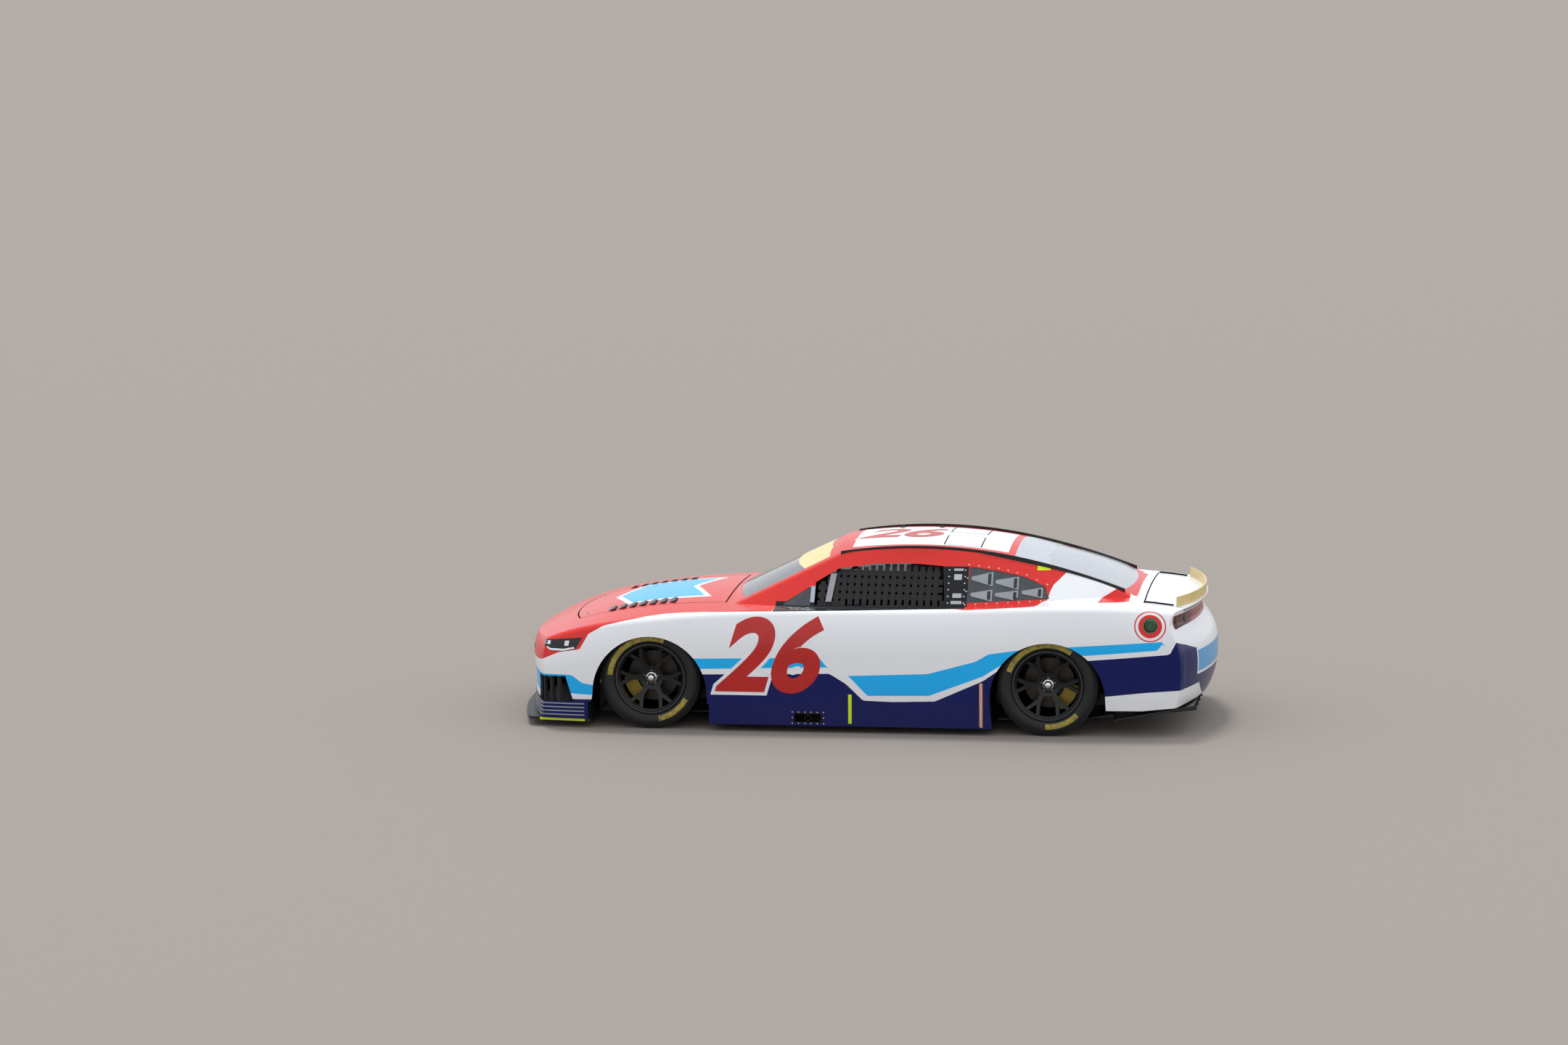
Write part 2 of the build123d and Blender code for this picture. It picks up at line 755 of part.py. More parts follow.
# Floor and underbody
floor_outline = [
    (splitter_rear_x, floor_front_y), (front_axle_x - front_arch_trail, floor_front_y),
    (front_axle_x - front_arch_trail, flange_y), (rear_axle_x + rear_arch_lead, flange_y),
    (rear_axle_x + rear_arch_lead, floor_rear_y), (diffuser_start_x, floor_rear_y),
]
with BuildPart() as floor_pan:
    with BuildSketch(Plane.XY.offset(floor_z)):
        with BuildLine():
            Polyline(*floor_outline, *[(x, -y) for x, y in reversed(floor_outline)], close=True)
        make_face()
    extrude(amount=floor_thickness)
write(floor_pan.part, "floor_pan")

with BuildPart() as diffuser:
    with BuildSketch(Plane.XZ):
        with BuildLine():
            Polyline((diffuser_start_x, floor_z), (diffuser_end_x, diffuser_end_z),
                     (diffuser_end_x, diffuser_end_z + diffuser_wall),
                     (diffuser_start_x, floor_z + diffuser_wall), close=True)
        make_face()
    extrude(amount=tail_corner_y, both=True)
    wheel_side_x = rear_axle_x - rear_arch_trail - 10
    half_plan = [(diffuser_start_x, floor_rear_y), (wheel_side_x, floor_rear_y),
                 (wheel_side_x - 30, tail_corner_y), (diffuser_end_x, tail_corner_y - 40)]
    with BuildSketch(Plane.XY):
        with BuildLine():
            Polyline(*half_plan, *[(x, -y) for x, y in reversed(half_plan)], close=True)
        make_face()
    extrude(amount=reach, mode=Mode.INTERSECT)
    strake_pitch = 2 * floor_rear_y / strake_count
    for strake in range(strake_count):
        strake_y = (strake - (strake_count - 1) / 2) * strake_pitch
        with BuildSketch(Plane.XZ.offset(-strake_y)):
            with BuildLine():
                Polyline((diffuser_start_x - 20, floor_z + 4), (diffuser_end_x, diffuser_end_z + 2),
                         (diffuser_end_x, strake_low_z + 60), (diffuser_start_x - 300, strake_low_z),
                         close=True)
            make_face()
        extrude(amount=strake_wall / 2, both=True)
write(diffuser.part, "diffuser")

with BuildPart() as firewall:
    add(block((firewall_x - sheet / 2, firewall_x + sheet / 2), (-flange_y, flange_y), (floor_top, 825)))
write(firewall.part, "firewall")

with BuildPart() as rear_bulkhead:
    with BuildSketch(Plane.XZ):
        with BuildLine():
            Polyline((bulkhead_x + sheet / 2, floor_top), (bulkhead_x + sheet / 2, tray_z + sheet),
                     (-1900, tray_z + sheet), (-1900, tray_z), (bulkhead_x - sheet / 2, tray_z),
                     (bulkhead_x - sheet / 2, floor_top), close=True)
        make_face()
    extrude(amount=tray_half_width, both=True)
write(rear_bulkhead.part, "rear_bulkhead")

liners = [
    # axle x, radius, centre z, lowest z, inner y
    (front_axle_x, front_liner_radius, front_liner_z, skirt_z, front_liner_y),
    (rear_axle_x, rear_liner_radius, rear_liner_z, floor_top, floor_rear_y),
]
with BuildPart() as wheel_liners:
    for axle_x, radius, middle_z, low_z, inner_y in liners:
        for side in (1, -1):
            with BuildSketch(Plane.XZ.offset(-side * inner_y)):
                for size, mode in ((radius + liner_wall, Mode.ADD), (radius, Mode.SUBTRACT)):
                    with Locations((axle_x, middle_z)):
                        Circle(size, mode=mode)
                    with Locations((axle_x, low_z)):
                        Rectangle(2 * size, middle_z - low_z, align=(Align.CENTER, Align.MIN), mode=mode)
                with Locations((axle_x, low_z)):
                    Rectangle(4 * radius, 4 * radius, align=(Align.CENTER, Align.MAX), mode=Mode.SUBTRACT)
            extrude(amount=-side * reach / 2)
    add(body_inside, mode=Mode.INTERSECT)
    add(under_tail, mode=Mode.SUBTRACT)
write(wheel_liners.part, "wheel_liners")

# Front and rear structure
clips = [
    # name, wall x, far end x, lower rail end x, axle x, hinge axis x and z
    ("front_clip", firewall_x + sheet / 2, clip_front_x, clip_front_x, front_axle_x, hood_axis_x,
     hood_axis_z),
    ("rear_clip", bulkhead_x - sheet / 2, clip_rear_x, -1950, rear_axle_x, lid_axis_x, lid_axis_z),
]
for name, wall_x, end_x, rail_end_x, axle_x, axis_x, axis_z in clips:
    toward = 1 if end_x > wall_x else -1
    rail_top_z = rail_low_z + rail_depth
    with BuildPart() as clip:
        for side in (1, -1):
            rail_y_span = (side * (rail_centre_y - rail_width / 2), side * mount_y)
            add(block((wall_x, rail_end_x), rail_y_span, (rail_low_z, rail_top_z)))
            add(block((axle_x - tower_length / 2, axle_x + tower_length / 2),
                      (side * (mount_y - tower_thickness), side * mount_y), (floor_top, tower_top_z)))
            tube((wall_x - toward * 60, side * rail_centre_y, clip_tube_high_z),
                 (end_x, side * rail_centre_y, clip_tube_low_z), clip_tube_radius)
            post_y = (side * (rail_centre_y - 15), side * (rail_centre_y + 15))
            add(block((rail_end_x, rail_end_x - toward * 40), post_y, (rail_low_z, clip_tube_low_z + 30)))
            post_y = (side * (hinge_y - hinge_plate / 2), side * (hinge_y + hinge_plate / 2))
            add(block((axis_x - hinge_head_radius, axis_x + hinge_head_radius), post_y,
                      (clip_tube_low_z + 10, axis_z)))
            tube((axis_x, post_y[0], axis_z), (axis_x, post_y[1], axis_z), hinge_head_radius)
        for x in (rail_end_x, axle_x + toward * (tower_length / 2 + 60)):
            add(block((x, x - toward * 40), (-mount_y, mount_y), (rail_low_z, rail_top_z)))
        add(block((wall_x, wall_x - toward * 200), (-reach, reach), (0, reach)), mode=Mode.SUBTRACT)
        for side in (1, -1):
            with Locations(Plane(origin=(axis_x, side * hinge_y, axis_z), z_dir=(0, 1, 0))):
                Cylinder(hinge_pin_radius + fit, 4 * hinge_plate, mode=Mode.SUBTRACT)
            with Locations(Plane(origin=(axle_x, side * mount_y, axle_z), z_dir=(0, 1, 0))):
                Cylinder(tower_hole_radius, 3 * tower_thickness, mode=Mode.SUBTRACT)
    write(clip.part, name)

with BuildPart() as engine:
    engine_outline = [(170, 100), (205, 300), (330, 520), (300, 640), (120, 640), (120, 740)]
    with BuildSketch(Plane.YZ.offset(850)):
        with BuildLine():
            Polyline(*engine_outline, *[(-y, z) for y, z in reversed(engine_outline)], close=True)
        make_face()
    extrude(amount=400)
    for side in (1, -1):
        add(block((1040, 1110), (side * 150, side * (mount_y - rail_width)), (165, 215)))
write(engine.part, "engine")

with BuildPart() as radiator:
    add(block((clip_front_x, clip_front_x + 50), (-400, 400), (rail_low_z, 500)))
write(radiator.part, "radiator")

with BuildPart() as transaxle:
    add(block((rear_axle_x - 190, rear_axle_x + 230), (-150, 150), (180, 470)))
    for x in (rear_axle_x - 150, rear_axle_x + 150):
        add(block((x - 20, x + 20), (rail_width - mount_y, mount_y - rail_width), (180, 220)))
write(transaxle.part, "transaxle")

with BuildPart() as fuel_cell:
    add(block((-1580, -1980), (-390, 390), (rail_low_z + rail_depth, 600)))
    fillet(fuel_cell.edges().filter_by(Axis.Z), 30)
write(fuel_cell.part, "fuel_cell")

# Roll cage of bent tubes
def mirrored(point, side):
    """The same point on the given side of the car."""
    return (point[0], side * point[1], point[2])


def bent_tube(points, radius, bend):
    """A round bar along straight runs joined by bends."""
    with BuildPart() as bar:
        with BuildLine() as path:
            FilletPolyline(*points, radius=bend)
        with BuildSketch(Plane(origin=path.line @ 0, z_dir=path.line % 0)):
            Circle(radius)
        sweep()
    return bar.part


hoop_corners = [(hoop_x, cage_y, floor_top), (hoop_x, cage_y, 870), (hoop_x, cage_top_y, cage_top_z)]
hoop_joint = (hoop_x, cage_top_y - 62, cage_top_z)
header = (130, 465, 1160)
dash_corner = (700, 610, 832)
front_foot = (700, 610, floor_top)
door_bar_heights = (250, 390, 530)
with BuildPart() as main_hoop:
    add(bent_tube(hoop_corners + [mirrored(point, -1) for point in reversed(hoop_corners)],
                  cage_radius, cage_bend))
    tube((hoop_x, -cage_y, 320), (hoop_x, 531, 1120), cage_bar_radius)
    tube((hoop_x, -cage_y, 560), (hoop_x, cage_y, 560), cage_bar_radius)
    for side in (1, -1):
        tube((hoop_x, side * 522, 1140), (-1700, side * 420, tray_z - 20), cage_bar_radius)
    add(block((-reach, hoop_x - 60), (-reach, reach), (0, tray_z + sheet)), mode=Mode.SUBTRACT)
write(main_hoop.part, "main_hoop")

with BuildPart() as cage_front:
    for side in (1, -1):
        corner_points = [mirrored(point, side) for point in (hoop_joint, header, dash_corner, front_foot)]
        add(bent_tube(corner_points, cage_radius - 1, cage_bend))
        for z in door_bar_heights:
            tube((hoop_x, side * cage_y, z), (front_foot[0], side * front_foot[1], z), cage_bar_radius)
    for x, half_width, z in (header, dash_corner):
        tube((x, 5 - half_width, z), (x, half_width - 5, z), cage_bar_radius)
    add(main_hoop.part, mode=Mode.SUBTRACT)
write(cage_front.part, "cage_front")

# Cockpit
rake = radians(wheel_rake)
toward_driver = Vector(-cos(rake), 0, sin(rake))
wheel_centre = Vector(wheel_x, driver_y, wheel_z)
column_top = wheel_centre - toward_driver * 45
with BuildPart() as dashboard:
    with BuildSketch(Plane.XZ):
        with BuildLine():
            Polyline((692, 640), (692, 838), (560, 848), (520, 800), (560, 640), close=True)
        make_face()
    extrude(amount=570, both=True)
    with Locations(Plane(origin=mirrored(dash_corner, 0), z_dir=(0, 1, 0))):
        Cylinder(cage_bar_radius + fit, 2 * reach, mode=Mode.SUBTRACT)
    tube(column_top, column_top - toward_driver * column_length, column_radius)
    with Locations(Plane(origin=column_top, z_dir=-toward_driver)):
        Cylinder(12 + fit, 100, align=(Align.CENTER, Align.CENTER, Align.MIN), mode=Mode.SUBTRACT)
write(dashboard.part, "dashboard")

with BuildPart() as steering_wheel:
    grip_plane = Plane(origin=wheel_centre, x_dir=(0, 1, 0), z_dir=toward_driver)
    with BuildSketch(Plane(origin=wheel_centre, x_dir=(0, 1, 0), z_dir=grip_plane.y_dir * -1)):
        with Locations((wheel_rim_radius, 0)):
            Circle(wheel_grip_radius)
    revolve(axis=Axis(wheel_centre, toward_driver))
    with BuildSketch(grip_plane):
        Circle(42)
        with Locations(Location((0, 0), 0), Location((0, 0), 180), Location((0, 0), 270)):
            with Locations((wheel_rim_radius / 2, 0)):
                Rectangle(wheel_rim_radius, 34)
    extrude(amount=5, both=True)
    tube(wheel_centre, wheel_centre - toward_driver * 40, 30)
    tube(wheel_centre, wheel_centre - toward_driver * 120, 12)
write(steering_wheel.part, "steering_wheel")

with BuildPart() as seat:
    with BuildSketch(Plane.XZ.offset(-driver_y)):
        with BuildLine():
            Polyline((-470, 90), (40, 90), (85, 350), (-150, 420), (-330, 700), (-370, 1000), (-600, 1000),
                     close=True)
        make_face()
    extrude(amount=seat_width / 2, both=True)
    with BuildSketch(Plane.XZ.offset(-driver_y)):
        with BuildLine():
            Polyline((120, 300), (-330, 215), (-400, 260), (-545, 1010), (-300, 1010), (120, 700),
                     close=True)
        make_face()
    extrude(amount=seat_width / 2 - seat_wall, both=True, mode=Mode.SUBTRACT)
    add(block((-430, 0), (driver_y - 180, driver_y + 180), (floor_top, 92)))
    head = block((-600, -330), (driver_y - 210, driver_y + 210), (995, 1130))
    head_room = block((-520, -300), (driver_y - 150, driver_y + 150), (900, 1200))
    add(head - head_room)
write(seat.part, "seat")

# Suspension arms, ending in joints above and below each upright
upright_half = joint_spread + 8
for name, axle_x, half_track in (("front_suspension", front_axle_x, front_track / 2),
                                 ("rear_suspension", rear_axle_x, rear_track / 2)):
    kingpin_y = half_track - kingpin_offset
    with BuildPart() as suspension:
        for side in (1, -1):
            for up in (1, -1):
                seat_z = axle_z + up * (upright_half + fit)
                joint_z = seat_z + up * 16
                joint = (axle_x, side * kingpin_y, joint_z)
                pin_top = (axle_x, side * kingpin_y, seat_z + up * 32)
                pin_tip = (axle_x, side * kingpin_y, seat_z - up * 32)
                tube((axle_x, side * kingpin_y, seat_z), pin_top, 21)
                tube(joint, pin_tip, pin_radius)
                for lean in (1, -1):
                    tube(joint, (axle_x + lean * arm_base / 2, side * (mount_y - 30), joint_z), arm_radius)
            low_z = axle_z - upright_half - fit - 16
            spread = (kingpin_y - coil_y) / (kingpin_y - mount_y + 30) * arm_base / 2
            coil_x = axle_x - coil_set_back
            tube((axle_x - spread, side * coil_y, low_z), (axle_x + spread, side * coil_y, low_z), 12)
            coil_top = (coil_x, side * (mount_y - 35), tower_top_z - 50)
            tube((coil_x, side * coil_y, low_z), coil_top, coil_radius)
        add(block((-reach, reach), (-mount_y, mount_y), (0, reach)), mode=Mode.SUBTRACT)
    write(suspension.part, name)

# Wheels, hubs and uprights
for name, axle_x, side, half_track, steered in corners:
    kingpin_y = half_track - kingpin_offset
    centre = Vector(axle_x, side * half_track, axle_z)
    section_plane = Plane(origin=centre, x_dir=(0, side, 0), z_dir=(side, 0, 0))
    face_plane = Plane(origin=centre, x_dir=(1, 0, 0), z_dir=(0, side, 0))
    spin = Axis(centre, (0, side, 0))
    bead_y = rim_half - fit
    bead_top = seat_radius + flange_height + 3
    half_tread = tread_width / 2
    with BuildPart() as tyre:
        with BuildSketch(section_plane):
            with BuildLine():
                Polyline((-bead_y, bead_top), (-bead_y, seat_radius + fit), (bead_y, seat_radius + fit),
                         (bead_y, bead_top))
                for out in (1, -1):
                    ThreePointArc((out * bead_y, bead_top), (out * tyre_width / 2, tyre_radius - 62),
                                  (out * (half_tread + 12), tyre_radius - 18))
                    Line((out * (half_tread + 12), tyre_radius - 18), (out * half_tread, tyre_radius - 6))
                ThreePointArc((half_tread, tyre_radius - 6), (0, tyre_radius), (-half_tread, tyre_radius - 6))
            make_face()
        revolve(axis=spin)
    write(tyre.part, f"tyre_{name}")

    with BuildPart() as rim:
        hub_depth = disc_face + spoke_depth + 8
        with BuildSketch(section_plane):
            with BuildLine():
                Polyline((disc_face, 0), (hub_depth, 0), (hub_depth, 60),
                         (disc_outer + spoke_depth, barrel_radius + 3), (disc_outer, barrel_radius + 3),
                         (disc_face, bell_radius), close=True)
            make_face()
        revolve(axis=spin)
        with BuildSketch(face_plane):
            Circle(bell_radius)
            with PolarLocations(0, spoke_count):
                Polygon(*spoke_outline, align=None)
        extrude(amount=2 * rim_width, mode=Mode.INTERSECT)
        with BuildSketch(section_plane):
            with BuildLine():
                edge = rim_half + flange_width
                lip = seat_radius + flange_height
                Polyline((-edge, barrel_radius), (-edge, lip), (-rim_half, lip), (-rim_half, seat_radius),
                         (rim_half, seat_radius), (rim_half, lip), (edge, lip), (edge, lip - 12),
                         (rim_half - 4, barrel_radius), close=True)
            make_face()
        revolve(axis=spin)
        with Locations(face_plane):
            Cylinder(spindle_radius + fit, 2 * rim_width, mode=Mode.SUBTRACT)
    write(rim.part, f"rim_{name}")

    inner = kingpin_offset + upright_depth / 2
    brake_in = brake_offset - brake_thickness / 2
    brake_out = brake_offset + brake_thickness / 2
    with BuildPart() as hub:
        with BuildSketch(section_plane):
            with BuildLine():
                Polyline((-inner - 12, 0), (-inner - 12, bearing_radius),
                         (brake_in - running_gap, bearing_radius), (brake_in - running_gap, 60),
                         (brake_in, 60), (brake_in, brake_radius),
                         (brake_out, brake_radius), (brake_out, bell_radius), (disc_face, bell_radius),
                         (disc_face, spindle_radius), (hub_depth + nut_height / 2, spindle_radius),
                         (hub_depth + nut_height / 2, 0), close=True)
            make_face()
        revolve(axis=spin)
        with BuildSketch(face_plane.offset(hub_depth)):
            RegularPolygon(nut_radius, 6)
        extrude(amount=nut_height, taper=4)
        if not steered:
            shaft_end = 150 + fit
            inner_y = half_track - inner
            tube((axle_x, side * shaft_end, axle_z), (axle_x, side * inner_y, axle_z), shaft_radius)
            for boot_y in (shaft_end, inner_y - 50):
                tube((axle_x, side * boot_y, axle_z), (axle_x, side * (boot_y + 40), axle_z), 42)
    write(hub.part, f"hub_{name}")

    with BuildPart() as upright:
        with BuildSketch(face_plane.offset(-inner)):
            with BuildLine():
                half_width = upright_width / 2
                Polyline((26, upright_half), (half_width + 14, 46), (half_width + 14, -46),
                         (26, -upright_half), (-26, -upright_half), (-half_width - 14, -46),
                         (-half_width - 14, 46), (-26, upright_half), close=True)
            make_face()
        extrude(amount=upright_depth)
        facing = radians(caliper_drop if steered else 180 - caliper_drop)
        caliper_plane = Plane(origin=centre + Vector(0, side * (brake_in - running_gap - caliper_wall), 0),
                              x_dir=(cos(facing), 0, -sin(facing)), z_dir=(0, side, 0))
        caliper_span = brake_thickness + 2 * running_gap + 2 * caliper_wall
        half_arc = caliper_arc / 2
        with BuildSketch(caliper_plane):
            with BuildLine():
                CenterArc((0, 0), caliper_outer, -half_arc, caliper_arc)
                CenterArc((0, 0), caliper_inner, -half_arc, caliper_arc)
                for end in (half_arc, -half_arc):
                    start = (caliper_inner * cos(radians(end)), caliper_inner * sin(radians(end)))
                    PolarLine(start, caliper_outer - caliper_inner, end)
            make_face()
        extrude(amount=caliper_span)
        with BuildSketch(caliper_plane):
            with Locations((caliper_inner - 20, 0)):
                Rectangle(80, 64)
        extrude(amount=caliper_wall - 4)
        with Locations(face_plane.offset(brake_offset)):
            Cylinder(brake_radius + running_gap, brake_thickness + 2 * running_gap, mode=Mode.SUBTRACT)
        with Locations(face_plane):
            Cylinder(bearing_radius + fit, 2 * inner + 200, mode=Mode.SUBTRACT)
        for up in (1, -1):
            with Locations((axle_x, side * kingpin_y, axle_z + up * upright_half)):
                Cylinder(pin_radius + fit, 72, mode=Mode.SUBTRACT)
    write(upright.part, f"upright_{name}")
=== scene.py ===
# %% [markdown]
# # A racing stock car, dressed in Blender
# The car's solids come from its CAD frame and never move. This lesson gives them their finishes,
# and adds what a solid leaves out: printed numbers, rivets, lamps, pads, webbing and small hardware.

# %% Start from the frame
from math import cos, pi, radians, sin

import bmesh
import bpy
from mathutils import Matrix, Vector
from mathutils.bvhtree import BVHTree


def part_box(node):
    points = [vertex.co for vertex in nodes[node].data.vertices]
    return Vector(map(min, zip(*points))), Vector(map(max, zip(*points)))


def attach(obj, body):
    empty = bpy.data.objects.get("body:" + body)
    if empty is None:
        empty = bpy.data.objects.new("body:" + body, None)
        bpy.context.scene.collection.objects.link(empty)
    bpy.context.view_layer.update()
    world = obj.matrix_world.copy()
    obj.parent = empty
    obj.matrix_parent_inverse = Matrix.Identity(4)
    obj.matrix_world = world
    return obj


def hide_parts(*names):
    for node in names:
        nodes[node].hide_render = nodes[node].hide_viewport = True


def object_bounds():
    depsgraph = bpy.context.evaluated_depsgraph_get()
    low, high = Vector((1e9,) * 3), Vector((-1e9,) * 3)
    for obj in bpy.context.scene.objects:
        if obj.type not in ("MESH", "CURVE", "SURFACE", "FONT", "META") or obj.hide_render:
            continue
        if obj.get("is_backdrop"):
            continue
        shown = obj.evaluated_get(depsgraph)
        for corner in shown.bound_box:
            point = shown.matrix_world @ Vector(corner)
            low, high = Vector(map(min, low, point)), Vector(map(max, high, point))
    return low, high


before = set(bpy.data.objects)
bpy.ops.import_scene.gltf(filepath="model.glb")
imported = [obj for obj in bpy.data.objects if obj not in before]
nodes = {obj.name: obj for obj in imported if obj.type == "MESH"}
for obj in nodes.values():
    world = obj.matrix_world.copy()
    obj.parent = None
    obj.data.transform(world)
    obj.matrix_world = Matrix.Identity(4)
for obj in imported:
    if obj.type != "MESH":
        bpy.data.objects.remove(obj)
cad_low, cad_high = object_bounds()
MM = 0.001
SIDES = ((1, "left"), (-1, "right"))
finishes = {}
print("CAD box", [round(v, 3) for v in (*cad_low, *cad_high)])

# %% [markdown]
# ## Helpers
# A colour is chosen as a screen colour (sRGB), but shaders add light, so they need it linear. One
# function turns one into the other, and one more adds a node with its settings and its links. The
# others name what is asked of it most often.


# %% Colour and node helpers
def linear(hex_colour):
    """Linear RGBA of an sRGB hex colour."""
    channels = [int(hex_colour[i:i + 2], 16) / 255 for i in (1, 3, 5)]
    return (*[c / 12.92 if c <= 0.04045 else ((c + 0.055) / 1.055) ** 2.4 for c in channels], 1)


def add_node(tree, kind, settings=None, inputs=None):
    """Add one node, set its properties, and fill or link its inputs."""
    node = tree.nodes.new(kind)
    for name, value in (settings or {}).items():
        setattr(node, name, value)
    for name, value in (inputs or {}).items():
        if isinstance(value, bpy.types.NodeSocket):
            tree.links.new(value, node.inputs[name])
        else:
            node.inputs[name].default_value = value
    return node


def math_of(tree, operation, *values):
    """The result of a Math node."""
    return add_node(tree, "ShaderNodeMath", {"operation": operation}, dict(enumerate(values))).outputs[0]


def noise_of(tree, place, scale, detail):
    """Noise round the middle of 0 to 1."""
    inputs = {"Vector": place, "Scale": scale, "Detail": detail}
    return add_node(tree, "ShaderNodeTexNoise", None, inputs).outputs[0]


def remap(tree, value, from_low, from_high, to_low, to_high):
    """The value moved from one range into another."""
    inputs = {"Value": value, "From Min": from_low, "From Max": from_high, "To Min": to_low,
              "To Max": to_high}
    return add_node(tree, "ShaderNodeMapRange", None, inputs).outputs[0]


def new_finish(name, **shader_inputs):
    """Start a finish with one Principled shader; returns its tree, its shader and Object coordinates."""
    finish = bpy.data.materials.new(name)
    finish.use_nodes = True
    tree = finish.node_tree
    shader = tree.nodes["Principled BSDF"]
    for key, value in shader_inputs.items():
        shader.inputs[key.replace("_", " ")].default_value = value
    finishes[name] = finish
    return tree, shader, add_node(tree, "ShaderNodeTexCoord").outputs["Object"]


def paint_over(tree, base, mask, colour):
    """Cover the base colour with another where the mask is 1."""
    top = colour if isinstance(colour, bpy.types.NodeSocket) else linear(colour)
    return add_node(tree, "ShaderNodeMix", {"data_type": "RGBA"}, {0: mask, 6: base, 7: top}).outputs[2]


def span(tree, value, low, high):
    """1 where the value lies between low and high, given in millimetres."""
    return math_of(tree, "COMPARE", value, (low + high) / 2 * MM, abs(high - low) / 2 * MM)


def all_of(tree, *masks):
    """1 where every mask is 1."""
    product = masks[0]
    for mask in masks[1:]:
        product = math_of(tree, "MULTIPLY", product, mask)
    return product


def opposite(tree, mask):
    """1 where the mask is 0."""
    return math_of(tree, "SUBTRACT", 1.0, mask)


def roughen(tree, shader, place, scale, low, high, bump=0.0, depth=0.001):
    """Vary the roughness between low and high by noise, and lift the surface by the same noise."""
    noise = noise_of(tree, place, scale, 4)
    tree.links.new(remap(tree, noise, 0, 1, low, high), shader.inputs["Roughness"])
    if bump:
        lift = add_node(tree, "ShaderNodeBump", None, {"Strength": bump, "Distance": depth, "Height": noise})
        tree.links.new(lift.outputs[0], shader.inputs["Normal"])


# %% [markdown]
# ## The paint scheme
# A race car wears a printed vinyl wrap. Its stripes run along the car, so each edge of a stripe is a
# height that changes with the place along the car. A Float Curve with straight handles draws such an
# edge from a few points, and a comparison with the height of the surface gives the stripe. This keeps
# the edges sharp at any zoom, where an image would blur.


# %% Painted edges
SCHEME_LENGTH = 5.0
SCHEME_HEIGHT = 1.5
scheme_edges = {
    # name: points (x, z) in millimetres
    "red_low": [(2500, 430), (2260, 470), (2107, 537), (1955, 562), (1894, 669), (1790, 728), (1651, 762),
                (1496, 792), (1362, 810), (1250, 820), (1082, 831), (868, 838), (600, 843), (585, 872),
                (-600, 884), (-760, 872), (-891, 882), (-1244, 905), (-1323, 926), (-1330, 1005),
                (-1462, 1125), (-1500, 1499), (-2500, 1499)],
    "stripe_high": [(2500, 385), (2044, 381), (2007, 376), (1938, 324), (1854, 310), (1640, 308), (1600, 514),
                    (1113, 514), (259, 532), (205, 466), (57, 409), (-498, 432), (-834, 525), (-925, 579),
                    (-1116, 608), (-1493, 640), (-2141, 681), (-2150, 640), (-2500, 640)],
    "stripe_low": [(2500, 250), (2027, 248), (1850, 240), (1640, 240), (1600, 442), (1113, 440), (386, 461),
                   (205, 466), (57, 409), (-77, 270), (-510, 278), (-886, 422), (-1116, 569), (-1450, 578),
                   (-1613, 581), (-2100, 620), (-2141, 681), (-2150, 640), (-2500, 640)],
    "navy_high": [(2500, 208), (2027, 207), (1850, 209), (1640, 209), (1600, 404), (1113, 402), (425, 416),
                  (190, 422), (74, 352), (-47, 236), (-253, 230), (-549, 239), (-886, 389), (-1067, 516),
                  (-1120, 535), (-1450, 540), (-1625, 546), (-2183, 591), (-2226, 676), (-2290, 640),
                  (-2360, 590), (-2500, 590)],
    "skirt_high": [(2500, 0), (-1600, 0), (-1605, 285), (-1749, 294), (-2006, 321), (-2366, 345), (-2380, 0),
                   (-2500, 0)],
    "corner_high": [(2500, 0), (-1630, 0), (-1637, 905), (-1801, 998), (-1889, 988), (-1900, 0), (-2500, 0)],
}


def below_edge(tree, x, z, name):
    """1 where the surface lies below a painted edge."""
    run = remap(tree, x, -SCHEME_LENGTH / 2, SCHEME_LENGTH / 2, 0, 1)
    curve = add_node(tree, "ShaderNodeFloatCurve", None, {"Value": run})
    line = curve.mapping.curves[0]
    rows = sorted((px * MM / SCHEME_LENGTH + 0.5, pz * MM / SCHEME_HEIGHT) for px, pz in scheme_edges[name])
    line.points[0].location = rows[0]
    line.points[1].location = rows[-1]
    for row in rows[1:-1]:
        line.points.new(*row)
    for point in line.points:
        point.handle_type = "VECTOR"
    curve.mapping.update()
    return math_of(tree, "LESS_THAN", math_of(tree, "DIVIDE", z, SCHEME_HEIGHT), curve.outputs[0])


# %% The wrap
WHITE, RED, SKY, NAVY = "#ECEFF3", "#D8322D", "#1FB4F8", "#03135A"
BRIGHT, SALMON, MAROON, GRAPHITE, GLASSY = "#D3F01A", "#E5A789", "#8E1826", "#15161C", "#BABFC8"
FILLER_X, FILLER_Z = -2047, 790
tree, shader, place = new_finish("printed_vinyl_wrap", Coat_Roughness=0.06)
axes = add_node(tree, "ShaderNodeSeparateXYZ", None, {0: place})
x, y, z = axes.outputs
across = math_of(tree, "ABSOLUTE", y)
below = {name: below_edge(tree, x, z, name) for name in scheme_edges}

colour = paint_over(tree, linear(WHITE), below["stripe_high"], SKY)
colour = paint_over(tree, colour, below["stripe_low"], WHITE)
colour = paint_over(tree, colour, below["navy_high"], NAVY)
colour = paint_over(tree, colour, below["skirt_high"], WHITE)
colour = paint_over(tree, colour, opposite(tree, below["red_low"]), RED)
colour = paint_over(tree, colour, all_of(tree, below["corner_high"], span(tree, z, 921, 1100)), RED)

